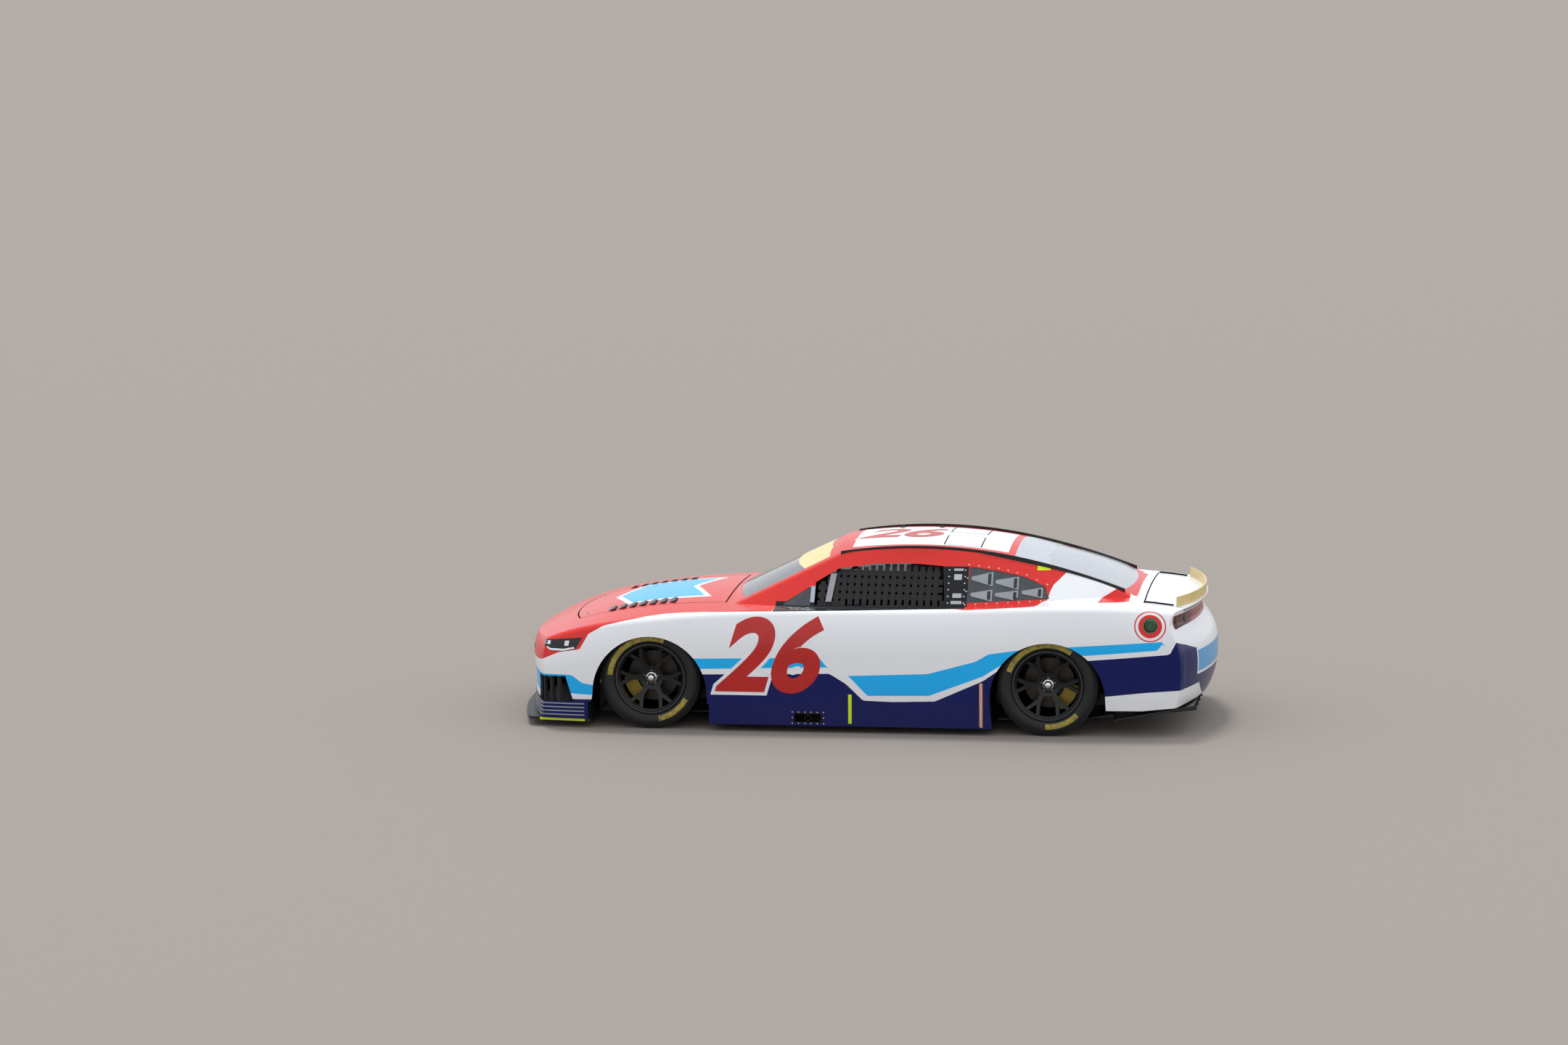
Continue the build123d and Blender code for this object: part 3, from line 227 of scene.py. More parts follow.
# Patches cover one another in this order. The dark band at the foot of the front windows rises by 29 mm
# for each metre rearwards, and the ends of the hood's patch slant by 35 mm for each 100 mm from the middle.
measures = {
    "x": x, "across": across, "z": z,
    "window_foot": math_of(tree, "MULTIPLY_ADD", x, 0.029, z),
    "slant": math_of(tree, "MULTIPLY_ADD", across, 0.35, x),
}
patch_rows = [
    # colour, and the range of each measure in millimetres
    (RED, {"x": (-1925, -1872), "z": (860, 1010), "across": (0, 520)}),
    (GRAPHITE, {"x": (-754, -572), "z": (884, 1138), "across": (600, 900)}),
    # The dark band along the door tops under the front windows is partly edging and partly painted shade: it
    # stands in for the shaded cockpit where the window opening reaches lower.
    (GRAPHITE, {"x": (-748, 597), "window_foot": (858, 905), "across": (600, 960)}),
    ("#AAB0C0", {"x": (306, 362), "z": (890, 992), "across": (600, 900)}),
    # The roof's panel for its number, the pale band ahead of the rear glass, and the hood's patch
    # The roof's panel is white partly as a painted reflection: its white stands in for the bright sky
    # reflected on the roof's crown.
    (WHITE, {"x": (-1010, 90), "z": (1150, 1400), "across": (0, 430)}),
    (GLASSY, {"x": (-1345, -1062), "z": (1100, 1400), "across": (0, 530)}),
    (WHITE, {"slant": (1250, 1850), "z": (700, 900), "across": (0, 445)}),
    (SKY, {"slant": (1290, 1810), "z": (700, 900), "across": (0, 400)}),
    # The tail's band between the lamps, and the bumper's patch in its white border
    (MAROON, {"x": (-2600, -2160), "z": (758, 848), "across": (0, 868)}),
    (WHITE, {"x": (-2600, -2160), "z": (410, 595), "across": (0, 660)}),
    ("#58A5DA", {"x": (-2600, -2160), "z": (428, 577), "across": (0, 642)}),
    # Markers on the sill and on the pillars
    (BRIGHT, {"x": (34, 58), "z": (70, 277)}),
    (SALMON, {"x": (-883, -861), "z": (60, 372)}),
    (BRIGHT, {"x": (-1318, -1228), "z": (1112, 1142)}),
]
for tint, ranges in patch_rows:
    masks = [span(tree, measures[name], *limits) for name, limits in ranges.items()]
    colour = paint_over(tree, colour, all_of(tree, *masks), tint)

# The filler has a round surround on the left side.
filler_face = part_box("fuel_port")[1].y
from_filler = add_node(tree, "ShaderNodeVectorMath", {"operation": "DISTANCE"},
                       {0: place, 1: (FILLER_X * MM, filler_face, FILLER_Z * MM)}).outputs["Value"]
on_left = math_of(tree, "GREATER_THAN", y, 0.6)
for inner, outer, tint in ((0, 116, WHITE), (103, 112, RED), (0, 84, RED)):
    colour = paint_over(tree, colour, all_of(tree, on_left, span(tree, from_filler, inner, outer)), tint)

# Rubber dust gathers low on the sides, in streaks along the car.
streaks = add_node(tree, "ShaderNodeMapping", None, {"Vector": place, "Scale": (1.6, 1.6, 9)}).outputs[0]
low_down = remap(tree, z, 0.48, 0.04, 0, 0.22)
colour = paint_over(tree, colour, all_of(tree, noise_of(tree, streaks, 4.0, 8), low_down), "#4D4644")

# Only the outside is wrapped: a face that looks back at the car's middle is bare composite.
face_normal = add_node(tree, "ShaderNodeNewGeometry").outputs["True Normal"]
from_middle = add_node(tree, "ShaderNodeVectorMath", {"operation": "MULTIPLY_ADD"},
                       {0: place, 1: (0.35, 1, 1), 2: (0, 0, -0.45)}).outputs[0]
outward = add_node(tree, "ShaderNodeVectorMath", {"operation": "DOT_PRODUCT"},
                   {0: face_normal, 1: from_middle}).outputs["Value"]
inner_face = math_of(tree, "LESS_THAN", outward, -0.02)
colour = paint_over(tree, colour, inner_face, "#17181A")
for socket_name, strength in (("Coat Weight", 0.1), ("Specular IOR Level", 0.2)):
    gloss = math_of(tree, "MULTIPLY", opposite(tree, inner_face), strength)
    tree.links.new(gloss, shader.inputs[socket_name])
tree.links.new(colour, shader.inputs["Base Color"])
roughen(tree, shader, place, 60, 0.2, 0.34, bump=0.03, depth=0.0004)

# %% [markdown]
# ## Bare materials
# Under the wrap a race car is composite, coated steel, rubber and cast or turned metal. Each finish
# starts from what the part is made of and how its surface was made, and noise in Object coordinates
# gives it the small changes that a single colour lacks.

# %% Plain finishes
plain_rows = [
    # name, colour, metallic, roughness low and high, noise scale, bump, depth of bump in metres
    ("moulded_black_composite", "#16171A", 0.0, 0.38, 0.58, 220, 0.25, 0.0004),
    ("grey_powder_coat", "#8C8F93", 0.0, 0.34, 0.48, 400, 0.20, 0.0003),
    ("black_powder_coat", "#1B1C1E", 0.0, 0.36, 0.52, 400, 0.20, 0.0003),
    ("gloss_black_alloy", "#0E0F11", 0.25, 0.22, 0.38, 120, 0.05, 0.0003),
    ("turned_steel", "#A9ABAF", 1.0, 0.16, 0.32, 300, 0.05, 0.0002),
    ("cast_aluminium", "#85878A", 0.85, 0.42, 0.62, 260, 0.35, 0.0005),
    ("polished_nut", "#D9DADC", 1.0, 0.06, 0.14, 200, 0.02, 0.0002),
    ("pale_grey_vinyl", "#AEB2B8", 0.0, 0.32, 0.45, 90, 0.05, 0.0003),
    ("worn_rim_lip", "#4A4C50", 0.6, 0.28, 0.42, 200, 0.05, 0.0002),
    ("dusty_liner_composite", "#121315", 0.0, 0.85, 0.97, 120, 0.25, 0.0005),
    ("black_net_webbing", "#0C0C0E", 0.0, 0.72, 0.88, 700, 0.5, 0.0004),
    ("harness_webbing", "#16213F", 0.0, 0.62, 0.80, 700, 0.5, 0.0004),
    ("seat_pad_fabric", "#1A1A1C", 0.0, 0.80, 0.95, 900, 0.6, 0.0006),
    ("gold_anodised_caliper", "#8F7A35", 0.7, 0.30, 0.45, 240, 0.15, 0.0003),
    ("tan_painted_aluminium", "#DDC582", 0.0, 0.28, 0.42, 90, 0.05, 0.0003),
    ("yellow_vinyl", "#E9DA96", 0.0, 0.28, 0.40, 90, 0.05, 0.0003),
    ("white_vinyl", WHITE, 0.0, 0.25, 0.36, 90, 0.05, 0.0003),
    ("red_vinyl", "#BC1B17", 0.0, 0.25, 0.36, 90, 0.05, 0.0003),
    ("white_head_rivet", "#D8DADD", 0.3, 0.25, 0.40, 300, 0.05, 0.0002),
    ("lamp_black_gloss", "#0B0C10", 0.0, 0.10, 0.18, 80, 0.0, 0.0002),
    ("lamp_red_gloss", "#4A0E1B", 0.0, 0.12, 0.20, 80, 0.0, 0.0002),
    ("green_filler_valve", "#4C6A54", 0.4, 0.35, 0.50, 260, 0.2, 0.0003),
    ("ribbed_duct_plastic", "#8F979F", 0.0, 0.30, 0.46, 160, 0.15, 0.0004),
    ("rubber_grip", "#121212", 0.0, 0.60, 0.80, 500, 0.5, 0.0004),
    ("bright_marker_tape", BRIGHT, 0.0, 0.32, 0.45, 120, 0.05, 0.0002),
    # A dark finish for strips of painted shade in the deck's side seams
    ("seam_shade_strip", "#0A0F3A", 0.0, 0.35, 0.5, 120, 0.1, 0.0003),
    ("warm_lamp_cell", "#5C403C", 0.0, 0.12, 0.22, 60, 0.0, 0.0002),
]
faint_reflections = {"dusty_liner_composite", "lamp_red_gloss", "warm_lamp_cell"}
for name, hex_colour, metallic, low, high, scale, bump, depth in plain_rows:
    tree, shader, place = new_finish(name, Metallic=metallic)
    roughen(tree, shader, place, scale, low, high, bump, depth)
    level = remap(tree, noise_of(tree, place, 9.0, 6), 0, 1, 0.80, 1.16)
    tone = add_node(tree, "ShaderNodeMix", {"data_type": "RGBA", "blend_type": "MULTIPLY"},
                    {0: 1.0, 6: linear(hex_colour), 7: level}).outputs[2]
    tree.links.new(tone, shader.inputs["Base Color"])
    if name in faint_reflections:
        shader.inputs["Specular IOR Level"].default_value = 0.12
print(len(finishes), "finishes")

# %% Clear polycarbonate: a hard-coated sheet, faintly grey, with wipe marks only in its gloss
tree, shader, place = new_finish("clear_polycarbonate", Transmission_Weight=0.92, IOR=1.45)
shader.inputs["Base Color"].default_value = linear("#A9B4BC")
roughen(tree, shader, place, 14, 0.02, 0.10)

# %% Hazed polycarbonate: the flat rear glass, wiped dull by dust, with faint streaks down its slope
tree, shader, place = new_finish("hazed_polycarbonate", Transmission_Weight=0.35, IOR=1.45)
streaks = add_node(tree, "ShaderNodeMapping", None, {"Vector": place, "Scale": (0.6, 9, 0.6)}).outputs[0]
haze = noise_of(tree, streaks, 3.0, 5)
tone = add_node(tree, "ShaderNodeMix", {"data_type": "RGBA"},
                {0: haze, 6: linear("#AEB6C2"), 7: linear("#E8ECF2")}).outputs[2]
tree.links.new(tone, shader.inputs["Base Color"])
roughen(tree, shader, place, 14, 0.12, 0.28)

# %% Woven composite: two-by-two twill, drawn four times coarser than the real 2 mm tow so it shows
tree, shader, place = new_finish("woven_composite", Coat_Weight=0.3, Coat_Roughness=0.25)
turned = add_node(tree, "ShaderNodeMapping", None,
                  {"Vector": place, "Rotation": (0.6, 0.5, pi / 4)}).outputs[0]
tows = add_node(tree, "ShaderNodeTexChecker", None,
                {"Vector": turned, "Scale": 1 / (8 * MM), "Color1": linear("#1A1B1D"),
                 "Color2": linear("#2A2C2F")}).outputs[0]
tree.links.new(tows, shader.inputs["Base Color"])
roughen(tree, shader, place, 90, 0.32, 0.5, bump=0.1, depth=0.0003)

# %% Turned iron and steel, for the hubs with their discs and for the exhaust outlets
tree, shader, place = new_finish("turned_iron_and_steel", Metallic=1.0)
shader.inputs["Base Color"].default_value = linear("#3C3936")
roughen(tree, shader, place, 240, 0.25, 0.45, bump=0.12, depth=0.0003)

# %% [markdown]
# ## Tyres
# A slick is a smooth band of rubber, slightly grey where it runs on the track, with a blacker sidewall.
# The maker's printed bands on the sidewall stay as plain yellow arcs. Both are drawn from the distance and
# the angle round the wheel's centre.

# %% Tyre rubber, one for each wheel, because the arcs turn about its own centre
HUB_Z = 0.356
wheels = [
    # name, x, side, turn of the printed arcs in degrees
    ("fl", 1.460, 1, 0), ("fr", 1.460, -1, 40), ("rl", -1.334, 1, 15), ("rr", -1.334, -1, -25),
]
tyre_arcs = [(-85, 20, 0.268, 0.304), (119, 168, 0.268, 0.304)]
for corner_name, wheel_x, side, arc_turn in wheels:
    tree, shader, place = new_finish(f"slick_rubber_{corner_name}")
    local = add_node(tree, "ShaderNodeVectorMath", {"operation": "SUBTRACT"},
                     {0: place, 1: (wheel_x, 0, HUB_Z)}).outputs[0]
    axes = add_node(tree, "ShaderNodeSeparateXYZ", None, {0: local})
    flat = add_node(tree, "ShaderNodeCombineXYZ", None, {0: axes.outputs[0], 2: axes.outputs[2]}).outputs[0]
    reach = add_node(tree, "ShaderNodeVectorMath", {"operation": "LENGTH"}, {0: flat}).outputs["Value"]
    angle = math_of(tree, "ARCTAN2", math_of(tree, "MULTIPLY", axes.outputs[0], -side), axes.outputs[2])
    outside = math_of(tree, "GREATER_THAN", math_of(tree, "MULTIPLY", axes.outputs[1], side), 0.86)
    tread = remap(tree, reach, 0.335, 0.350, 0, 1)
    colour = paint_over(tree, linear("#121213"), tread, "#29282A")
    for start, end, low, high in tyre_arcs:
        centred = math_of(tree, "SUBTRACT", angle, radians((start + end) / 2 + arc_turn))
        wrapped = math_of(tree, "WRAP", centred, pi, -pi)
        along = math_of(tree, "COMPARE", wrapped, 0.0, radians((end - start) / 2))
        ring = span(tree, reach, low / MM, high / MM)
        worn = remap(tree, noise_of(tree, place, 35, 6), 0.25, 0.6, 0.35, 0.95)
        colour = paint_over(tree, colour, all_of(tree, along, ring, outside, worn), "#A8983E")
    tree.links.new(colour, shader.inputs["Base Color"])
    roughen(tree, shader, place, 130, 0.5, 0.75, bump=0.15, depth=0.0006)

# %% Give each CAD node its finish
finish_nodes = {
    "printed_vinyl_wrap": "front_fascia hood fender_left fender_right door_left door_right quarter_left "
                          "quarter_right rockers rear_fascia deck_lid greenhouse roof_flap_left "
                          "roof_flap_right",
    "moulded_black_composite": "grille splitter roof_rails fuel_cell seat",
    "woven_composite": "floor_pan diffuser firewall rear_bulkhead dashboard",
    "black_powder_coat": "front_clip rear_clip front_suspension rear_suspension",
    "grey_powder_coat": "main_hoop cage_front",
    "cast_aluminium": "engine radiator transaxle",
    "clear_polycarbonate": "windshield side_windows",
    "hazed_polycarbonate": "rear_window",
    "rubber_grip": "window_net steering_wheel",
    "turned_iron_and_steel": "exhausts",
    "dusty_liner_composite": "wheel_liners",
    "lamp_black_gloss": "headlamps",
    "lamp_red_gloss": "tail_lamps",
    "green_filler_valve": "fuel_port",
    "tan_painted_aluminium": "spoiler",
}
node_finishes = {name: finish_name for finish_name, names in finish_nodes.items() for name in names.split()}
for corner_name, wheel_x, side, arc_turn in wheels:
    node_finishes[f"tyre_{corner_name}"] = f"slick_rubber_{corner_name}"
    node_finishes[f"rim_{corner_name}"] = "gloss_black_alloy"
    node_finishes[f"hub_{corner_name}"] = "turned_iron_and_steel"
    node_finishes[f"upright_{corner_name}"] = "gold_anodised_caliper"
for name, finish_name in node_finishes.items():
    mesh = nodes[name].data
    mesh.materials.clear()
    mesh.materials.append(finishes[finish_name])
print("dressed", len(node_finishes), "of", len(nodes), "nodes")

# %% [markdown]
# ## Placing things on the panels
# Small parts follow a panel's curve. A ray from outside the car finds the panel, and the hit gives both
# a place and the direction that points straight out of the surface. A flat shape is cut into small
# faces first, so that it can bend, and then each of its points goes to its own hit.

# %% Rays onto the panels
RAY_START = 3  # metres from the car's middle, so outside it
search_trees = {}


def touch(names, start, direction):
    """Where a ray first meets the named CAD nodes, and the way straight out of them there."""
    key = tuple(names)
    if key not in search_trees:
        corners, faces = [], []
        for name in names:
            mesh = nodes[name].data
            faces += [[i + len(corners) for i in face.vertices] for face in mesh.polygons]
            corners += [v.co.copy() for v in mesh.vertices]
        search_trees[key] = BVHTree.FromPolygons(corners, faces)
    direction = Vector(direction).normalized()
    hit, normal = search_trees[key].ray_cast(Vector(start), direction)[:2]
    if hit is None:
        return None, None
    return hit, -normal if normal.dot(direction) > 0 else normal


def drop(node, x_at, y_at):
    """Where a ray from above meets a node at a place in millimetres, and the way straight out of it."""
    return touch([node], (x_at * MM, y_at * MM, RAY_START), (0, 0, -1))


def outer_face(node, side):
    """How far out a node reaches on one side, in millimetres."""
    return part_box(node)[1 if side > 0 else 0].y / MM


# %% Shapes
def cut(shape, point, normal, **settings):
    """Cut a shape by a plane."""
    bmesh.ops.bisect_plane(shape, geom=shape.verts[:] + shape.edges[:] + shape.faces[:], plane_co=point,
                           plane_no=normal, **settings)


def thicken(shape, thickness):
    """Give a sheet its thickness."""
    bmesh.ops.solidify(shape, geom=shape.faces[:], thickness=thickness)


def face_outwards(shape):
    """Turn every face of a closed shape outwards."""
    bmesh.ops.recalc_face_normals(shape, faces=shape.faces[:])


def face_towards(shape, direction):
    """Flip the faces that look away from a direction."""
    shape.normal_update()
    for face in shape.faces:
        if face.normal.dot(direction) < 0:
            face.normal_flip()
    shape.normal_update()


def pour(shape, goal):
    """Move a shape into another one."""
    scrap = bpy.data.meshes.new("scrap")
    shape.to_mesh(scrap)
    goal.from_mesh(scrap)
    shape.free()
    bpy.data.meshes.remove(scrap)


def add_band(shape, pairs):
    """Add a row of faces between pairs of places; a pair that isn't whole ends the row."""
    previous = None
    for pair in pairs:
        ends = [shape.verts.new(place) for place in pair] if len(pair) == 2 else None
        if previous and ends:
            shape.faces.new((*previous, *reversed(ends)))
        previous = ends


def finish_piece(name, shape, body, finish, smooth=True):
    """Turn a bmesh into a piece that rides on a body and takes a finish."""
    mesh = bpy.data.meshes.new(name)
    shape.to_mesh(mesh)
    shape.free()
    mesh.materials.append(finishes[finish])
    for face in mesh.polygons:
        face.use_smooth = smooth
    piece = bpy.data.objects.new(name, mesh)
    bpy.context.scene.collection.objects.link(piece)
    if smooth:
        mesh.set_sharp_from_angle(angle=radians(40))
    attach(piece, body)
    return piece


def drape(shape, names, direction, lift, grid=0.03, thickness=0.0008):
    """Cut a flat shape on a grid, lay it on the named nodes along a direction, and give it a thickness."""
    direction = Vector(direction)
    for axis in range(3):
        if abs(direction[axis]) >= 0.5:
            continue
        normal = Vector([other == axis for other in range(3)])
        values = [v.co[axis] for v in shape.verts]
        low, high = min(values), max(values)
        steps = int((high - low) / grid)
        for step in range(1, steps + 1):
            cut(shape, normal * (low + step * (high - low) / (steps + 1)), normal, dist=0.0001)
    missed = []
    for vertex in shape.verts:
        hit, normal = touch(names, vertex.co - direction * RAY_START, direction)
        if hit is None:
            missed.append(vertex)
        else:
            vertex.co = hit + normal * lift
    bmesh.ops.delete(shape, geom=missed, context="VERTS")
    face_towards(shape, -direction)
    thicken(shape, thickness)


def outline_shape(points, plane):
    """A flat face from points in millimetres: side (x, z), top (x, y) or rear (y, z)."""
    shape = bmesh.new()
    for a, b in points:
        place = {"side": (a, 0, b), "top": (a, b, 0), "rear": (0, a, b)}[plane]
        shape.verts.new(Vector(place) * MM)
    shape.faces.new(shape.verts)
    bmesh.ops.triangulate(shape, faces=shape.faces[:])
    return shape


def rectangle(low_a, high_a, low_b, high_b):
    """The corners of an upright rectangle."""
    return [(low_a, low_b), (high_a, low_b), (high_a, high_b), (low_a, high_b)]


def rounded(points, radius, steps=4):
    """The points of an outline with its corners rounded by a radius."""
    result = []
    for index, corner_point in enumerate(points):
        corner_at = Vector(corner_point)
        before = (Vector(points[index - 1]) - corner_at).normalized()
        after = (Vector(points[(index + 1) % len(points)]) - corner_at).normalized()
        for step in range(steps + 1):
            share = step / steps
            start, end = corner_at + before * radius, corner_at + after * radius
            result.append(tuple(start * (1 - share) ** 2 + corner_at * 2 * share * (1 - share)
                                + end * share ** 2))
    return result


# %% [markdown]
# ## Race numbers
# The doors and the roof carry the car's number as cut vinyl: red figures on a white backing that shows
# as an outline. Blender's own font gives the figures, made bold by its offset and slanted by its shear,
# and each one is a thin sheet of vinyl that follows the panel.

# %% Numbers on the doors and on the roof
NUMBER = "26"
FIGURE_SIZE = 0.70


def figures(offset):
    """The number as a flat bmesh in its own plane."""
    text = bpy.data.curves.new("figures", "FONT")
    text.body = NUMBER
    text.size = FIGURE_SIZE
    text.offset = offset
    text.shear = 0.3
    text.space_character = 0.98
    text.align_x = "CENTER"
    text.align_y = "CENTER"
    text.resolution_u = 10
    holder = bpy.data.objects.new("figures", text)
    bpy.context.scene.collection.objects.link(holder)
    mesh = bpy.data.meshes.new_from_object(holder.evaluated_get(bpy.context.evaluated_depsgraph_get()))
    shape = bmesh.new()
    shape.from_mesh(mesh)
    bpy.data.objects.remove(holder)
    return shape


number_places = [
    # name, nodes, centre, reading direction, up direction, ray direction, size
    ("door_left", ["door_left", "fender_left"], (0.645, 0, 0.515), (-1, 0, 0), (0, 0, 1), (0, -1, 0), 0.70),
    ("door_right", ["door_right", "fender_right"], (0.645, 0, 0.515), (1, 0, 0), (0, 0, 1), (0, 1, 0), 0.70),
    ("roof", ["greenhouse"], (-0.20, 0, 0), (-1, 0, 0), (0, -1, 0), (0, 0, -1), 0.56),
]
for place_name, target_nodes, centre, reading, upward, ray, size in number_places:
    for layer, offset, lift, finish_name in (("backing", 0.045, 0.0004, "white_vinyl"),
                                             ("figures", 0.022, 0.0009, "red_vinyl")):
        shape = figures(offset)
        facing = Vector(reading).cross(Vector(upward))
        turn = Matrix((reading, upward, facing)).transposed().to_4x4()
        # The figures are scaled as a whole: a smaller font with the same bold offset tears the 6.
        shape.transform(Matrix.Translation(centre) @ turn @ Matrix.Scale(size / FIGURE_SIZE, 4))
        drape(shape, target_nodes, ray, lift)
        slot_name = "white_paint" if layer == "backing" else "red_paint"
        piece = finish_piece(f"number_{layer}_{place_name}", shape, "chassis", finish_name)
    print("number on", place_name, len(piece.data.polygons), "faces")

# %% [markdown]
# ## Rivets
# Windows and ducts are held by blind rivets with white heads, about 75 mm apart. A flattened sphere is
# enough for a head a few millimetres across. All the rivets of one place are one mesh.


# %% Rows of rivets
def along_outline(points, pitch):
    """Points about a pitch apart along a closed outline in millimetres."""
    result = []
    for index, start in enumerate(points):
        end = points[(index + 1) % len(points)]
        run = Vector(end) - Vector(start)
        count = max(1, round(run.length / pitch))
        result += [Vector(start) + run * step / count for step in range(count)]
    return result


def rivets(name, rows, node, side, radius, finish="white_head_rivet"):
    """Rivet heads on one side of a node, at places (x, z) in millimetres."""
    shape = bmesh.new()
    for x_at, z_at in rows:
        start = Vector((x_at, 0, z_at)) * MM + Vector((0, side, 0)) * RAY_START
        hit, normal = touch([node], start, (0, -side, 0))
        if hit is None:
            continue
        turn = normal.to_track_quat("Z", "Y").to_matrix().to_4x4()
        flat = Matrix.Diagonal((1, 1, 0.45, 1))
        bmesh.ops.create_uvsphere(shape, u_segments=10, v_segments=6, radius=radius,
                                  matrix=Matrix.Translation(hit) @ turn @ flat)
    finish_piece(name, shape, "chassis", finish)


quarter_ring = [(-752, 1150), (-960, 1126), (-1156, 1084), (-1304, 1022), (-1338, 922), (-740, 894)]
window_rows = along_outline(quarter_ring, 78) + [(x_at, z_at) for x_at in (-618, -730)
                                                 for z_at in range(905, 1130, 42)]
sill_rows = [(x_at, z_at) for z_at in (66, 176) for x_at in range(-860, 1000, 120) if not 230 < x_at < 460]
outlet_rows = along_outline(rectangle(232, 452, 66, 146), 46)
for side, side_name in SIDES:
    rivets(f"window_rivets_{side_name}", window_rows, "greenhouse", side, 0.0055)
    rivets(f"sill_rivets_{side_name}", sill_rows, "rockers", side, 0.004, "black_powder_coat")
    rivets(f"exhaust_rivets_{side_name}", outlet_rows, "rockers", side, 0.0045)

# %% [markdown]
# ## Window ducts
# Air for the driver and for the brakes comes in through shallow wedge-shaped ducts set in the rear side
# windows. Each one is a moulded tray, narrow at its front and wide at its mouth. Here it is a 4 mm thick
# sheet that follows the window, and its mouth is a thin dark sheet, painted shade for the opening.

# %% Wedge ducts on the side windows
duct_rows = [
    # front x, rear x, middle height at front and rear, half width at front and rear
    (-775, -925, 1062, 1056, 10, 46),
    (-775, -925, 958, 952, 10, 38),
    (-945, -1105, 1040, 1030, 10, 42),
    (-945, -1105, 958, 950, 10, 34),
    (-1130, -1275, 972, 968, 10, 34),
]
for side, side_name in SIDES:
    trays, mouths = bmesh.new(), bmesh.new()
    for front_x, rear_x, front_z, rear_z, front_half, rear_half in duct_rows:
        wedge = [(front_x, front_z - front_half), (front_x, front_z + front_half),
                 (rear_x, rear_z + rear_half), (rear_x, rear_z - rear_half)]
        # The mouth is a dark sheet over the tray's wide end: painted shade for the duct's opening.
        mouth = [(rear_x + 34, rear_z - rear_half + 12), (rear_x + 34, rear_z + rear_half - 12),
                 (rear_x + 12, rear_z + rear_half - 10), (rear_x + 12, rear_z - rear_half + 10)]
        for outline, goal, lift, thick in ((wedge, trays, 0.004, 0.004), (mouth, mouths, 0.0055, 0.001)):
            shape = outline_shape(rounded(outline, 6), "side")
            drape(shape, ["side_windows"], (0, -side, 0), lift, thickness=thick)
            pour(shape, goal)
    finish_piece(f"window_ducts_{side_name}", trays, "chassis", "ribbed_duct_plastic")
    finish_piece(f"duct_mouth_shade_{side_name}", mouths, "chassis", "moulded_black_composite")

# %% [markdown]
# ## Trim cut from the panels
# Some trim is a strip of the panel's own shape: the plain yellow band across the top of the windshield and
# the bright line along the splitter. A copy of the node is cut by planes, its outward faces are kept and
# lifted a little, and a thickness is added.


# %% Strips cut from a node
def skin_strip(name, node, planes, facing, lift, finish, least=0.3):
    """A thin strip of a node's skin between planes, each given as a point in millimetres and a normal."""
    shape = bmesh.new()
    shape.from_mesh(nodes[node].data)
    bmesh.ops.remove_doubles(shape, verts=shape.verts[:], dist=0.00001)
    for point, normal in planes:
        cut(shape, Vector(point) * MM, normal, clear_outer=True)
    shape.normal_update()
    away = [face for face in shape.faces if face.normal.dot(Vector(facing)) < least]
    bmesh.ops.delete(shape, geom=away, context="FACES")
    shape.normal_update()
    for vertex in shape.verts:
        vertex.co += vertex.normal * lift
    thicken(shape, 0.0008)
    finish_piece(name, shape, "chassis", finish)


skin_strip("windshield_band", "windshield", [((0, 0, 1092), (0, 0, -1))], (0.5, 0, 0.8), 0.0008,
           "yellow_vinyl", least=0.0)
for side, side_name in SIDES:
    skin_strip(f"splitter_line_{side_name}", "splitter",
               [((0, 0, 65), (0, 0, 1)), ((1925, 0, 0), (-1, 0, 0)), ((2252, 0, 0), (1, 0, 0))], (0, side, 0),
               0.0008, "bright_marker_tape", least=0.6)

# %% Lamp cells, lamp strips and the blank labels on the pillar
trim_rows = [
    # name, node, outline, plane, finish, slot
    ("tail_cells", "tail_lamps", [(520, 776), (640, 772), (640, 832), (520, 832)], "rear", "warm_lamp_cell",
     "lamp_red"),
    ("tail_cells_outer", "tail_lamps", [(682, 770), (815, 766), (810, 828), (682, 830)], "rear",
     "warm_lamp_cell", "lamp_red"),
    ("headlamp_strip", "headlamps", [(2206, 571), (2213, 584), (2166, 562), (2072, 561), (1996, 577),
                                     (1990, 566), (2070, 548), (2167, 549)], "side", "white_vinyl",
     "lamp_black"),
    ("headlamp_inner_cell", "headlamps", [(2206, 592), (2206, 610), (2166, 613), (2170, 586)], "side",
     "polished_nut", "lamp_black"),
    ("headlamp_outer_cell", "headlamps", [(2066, 582), (2062, 616), (2030, 619), (2036, 584)], "side",
     "polished_nut", "lamp_black"),
]
label_rows = [
    # name, front x, rear x, upper z, lower z
    ("top", -650, -716, 1124, 1110), ("middle", -654, -708, 1088, 1052), ("low", -650, -712, 966, 938),
    ("base", -640, -716, 918, 898),
]
for label, *limits in label_rows:
    trim_rows.append((f"pillar_label_{label}", "greenhouse", rectangle(*limits), "side", "pale_grey_vinyl",
                      "white_paint"))
for name, node, outline, plane, finish_name, slot_name in trim_rows:
    for side, side_name in SIDES:
        points = outline if plane == "side" else [(a * side, b) for a, b in outline]
        ray = (0, -side, 0) if plane == "side" else (1, 0, 0)
        shape = outline_shape(rounded(points, 9 if plane == "rear" else 3), plane)
        drape(shape, [node], ray, 0.0015, thickness=0.001)
        finish_piece(f"{name}_{side_name}", shape, "chassis", finish_name)
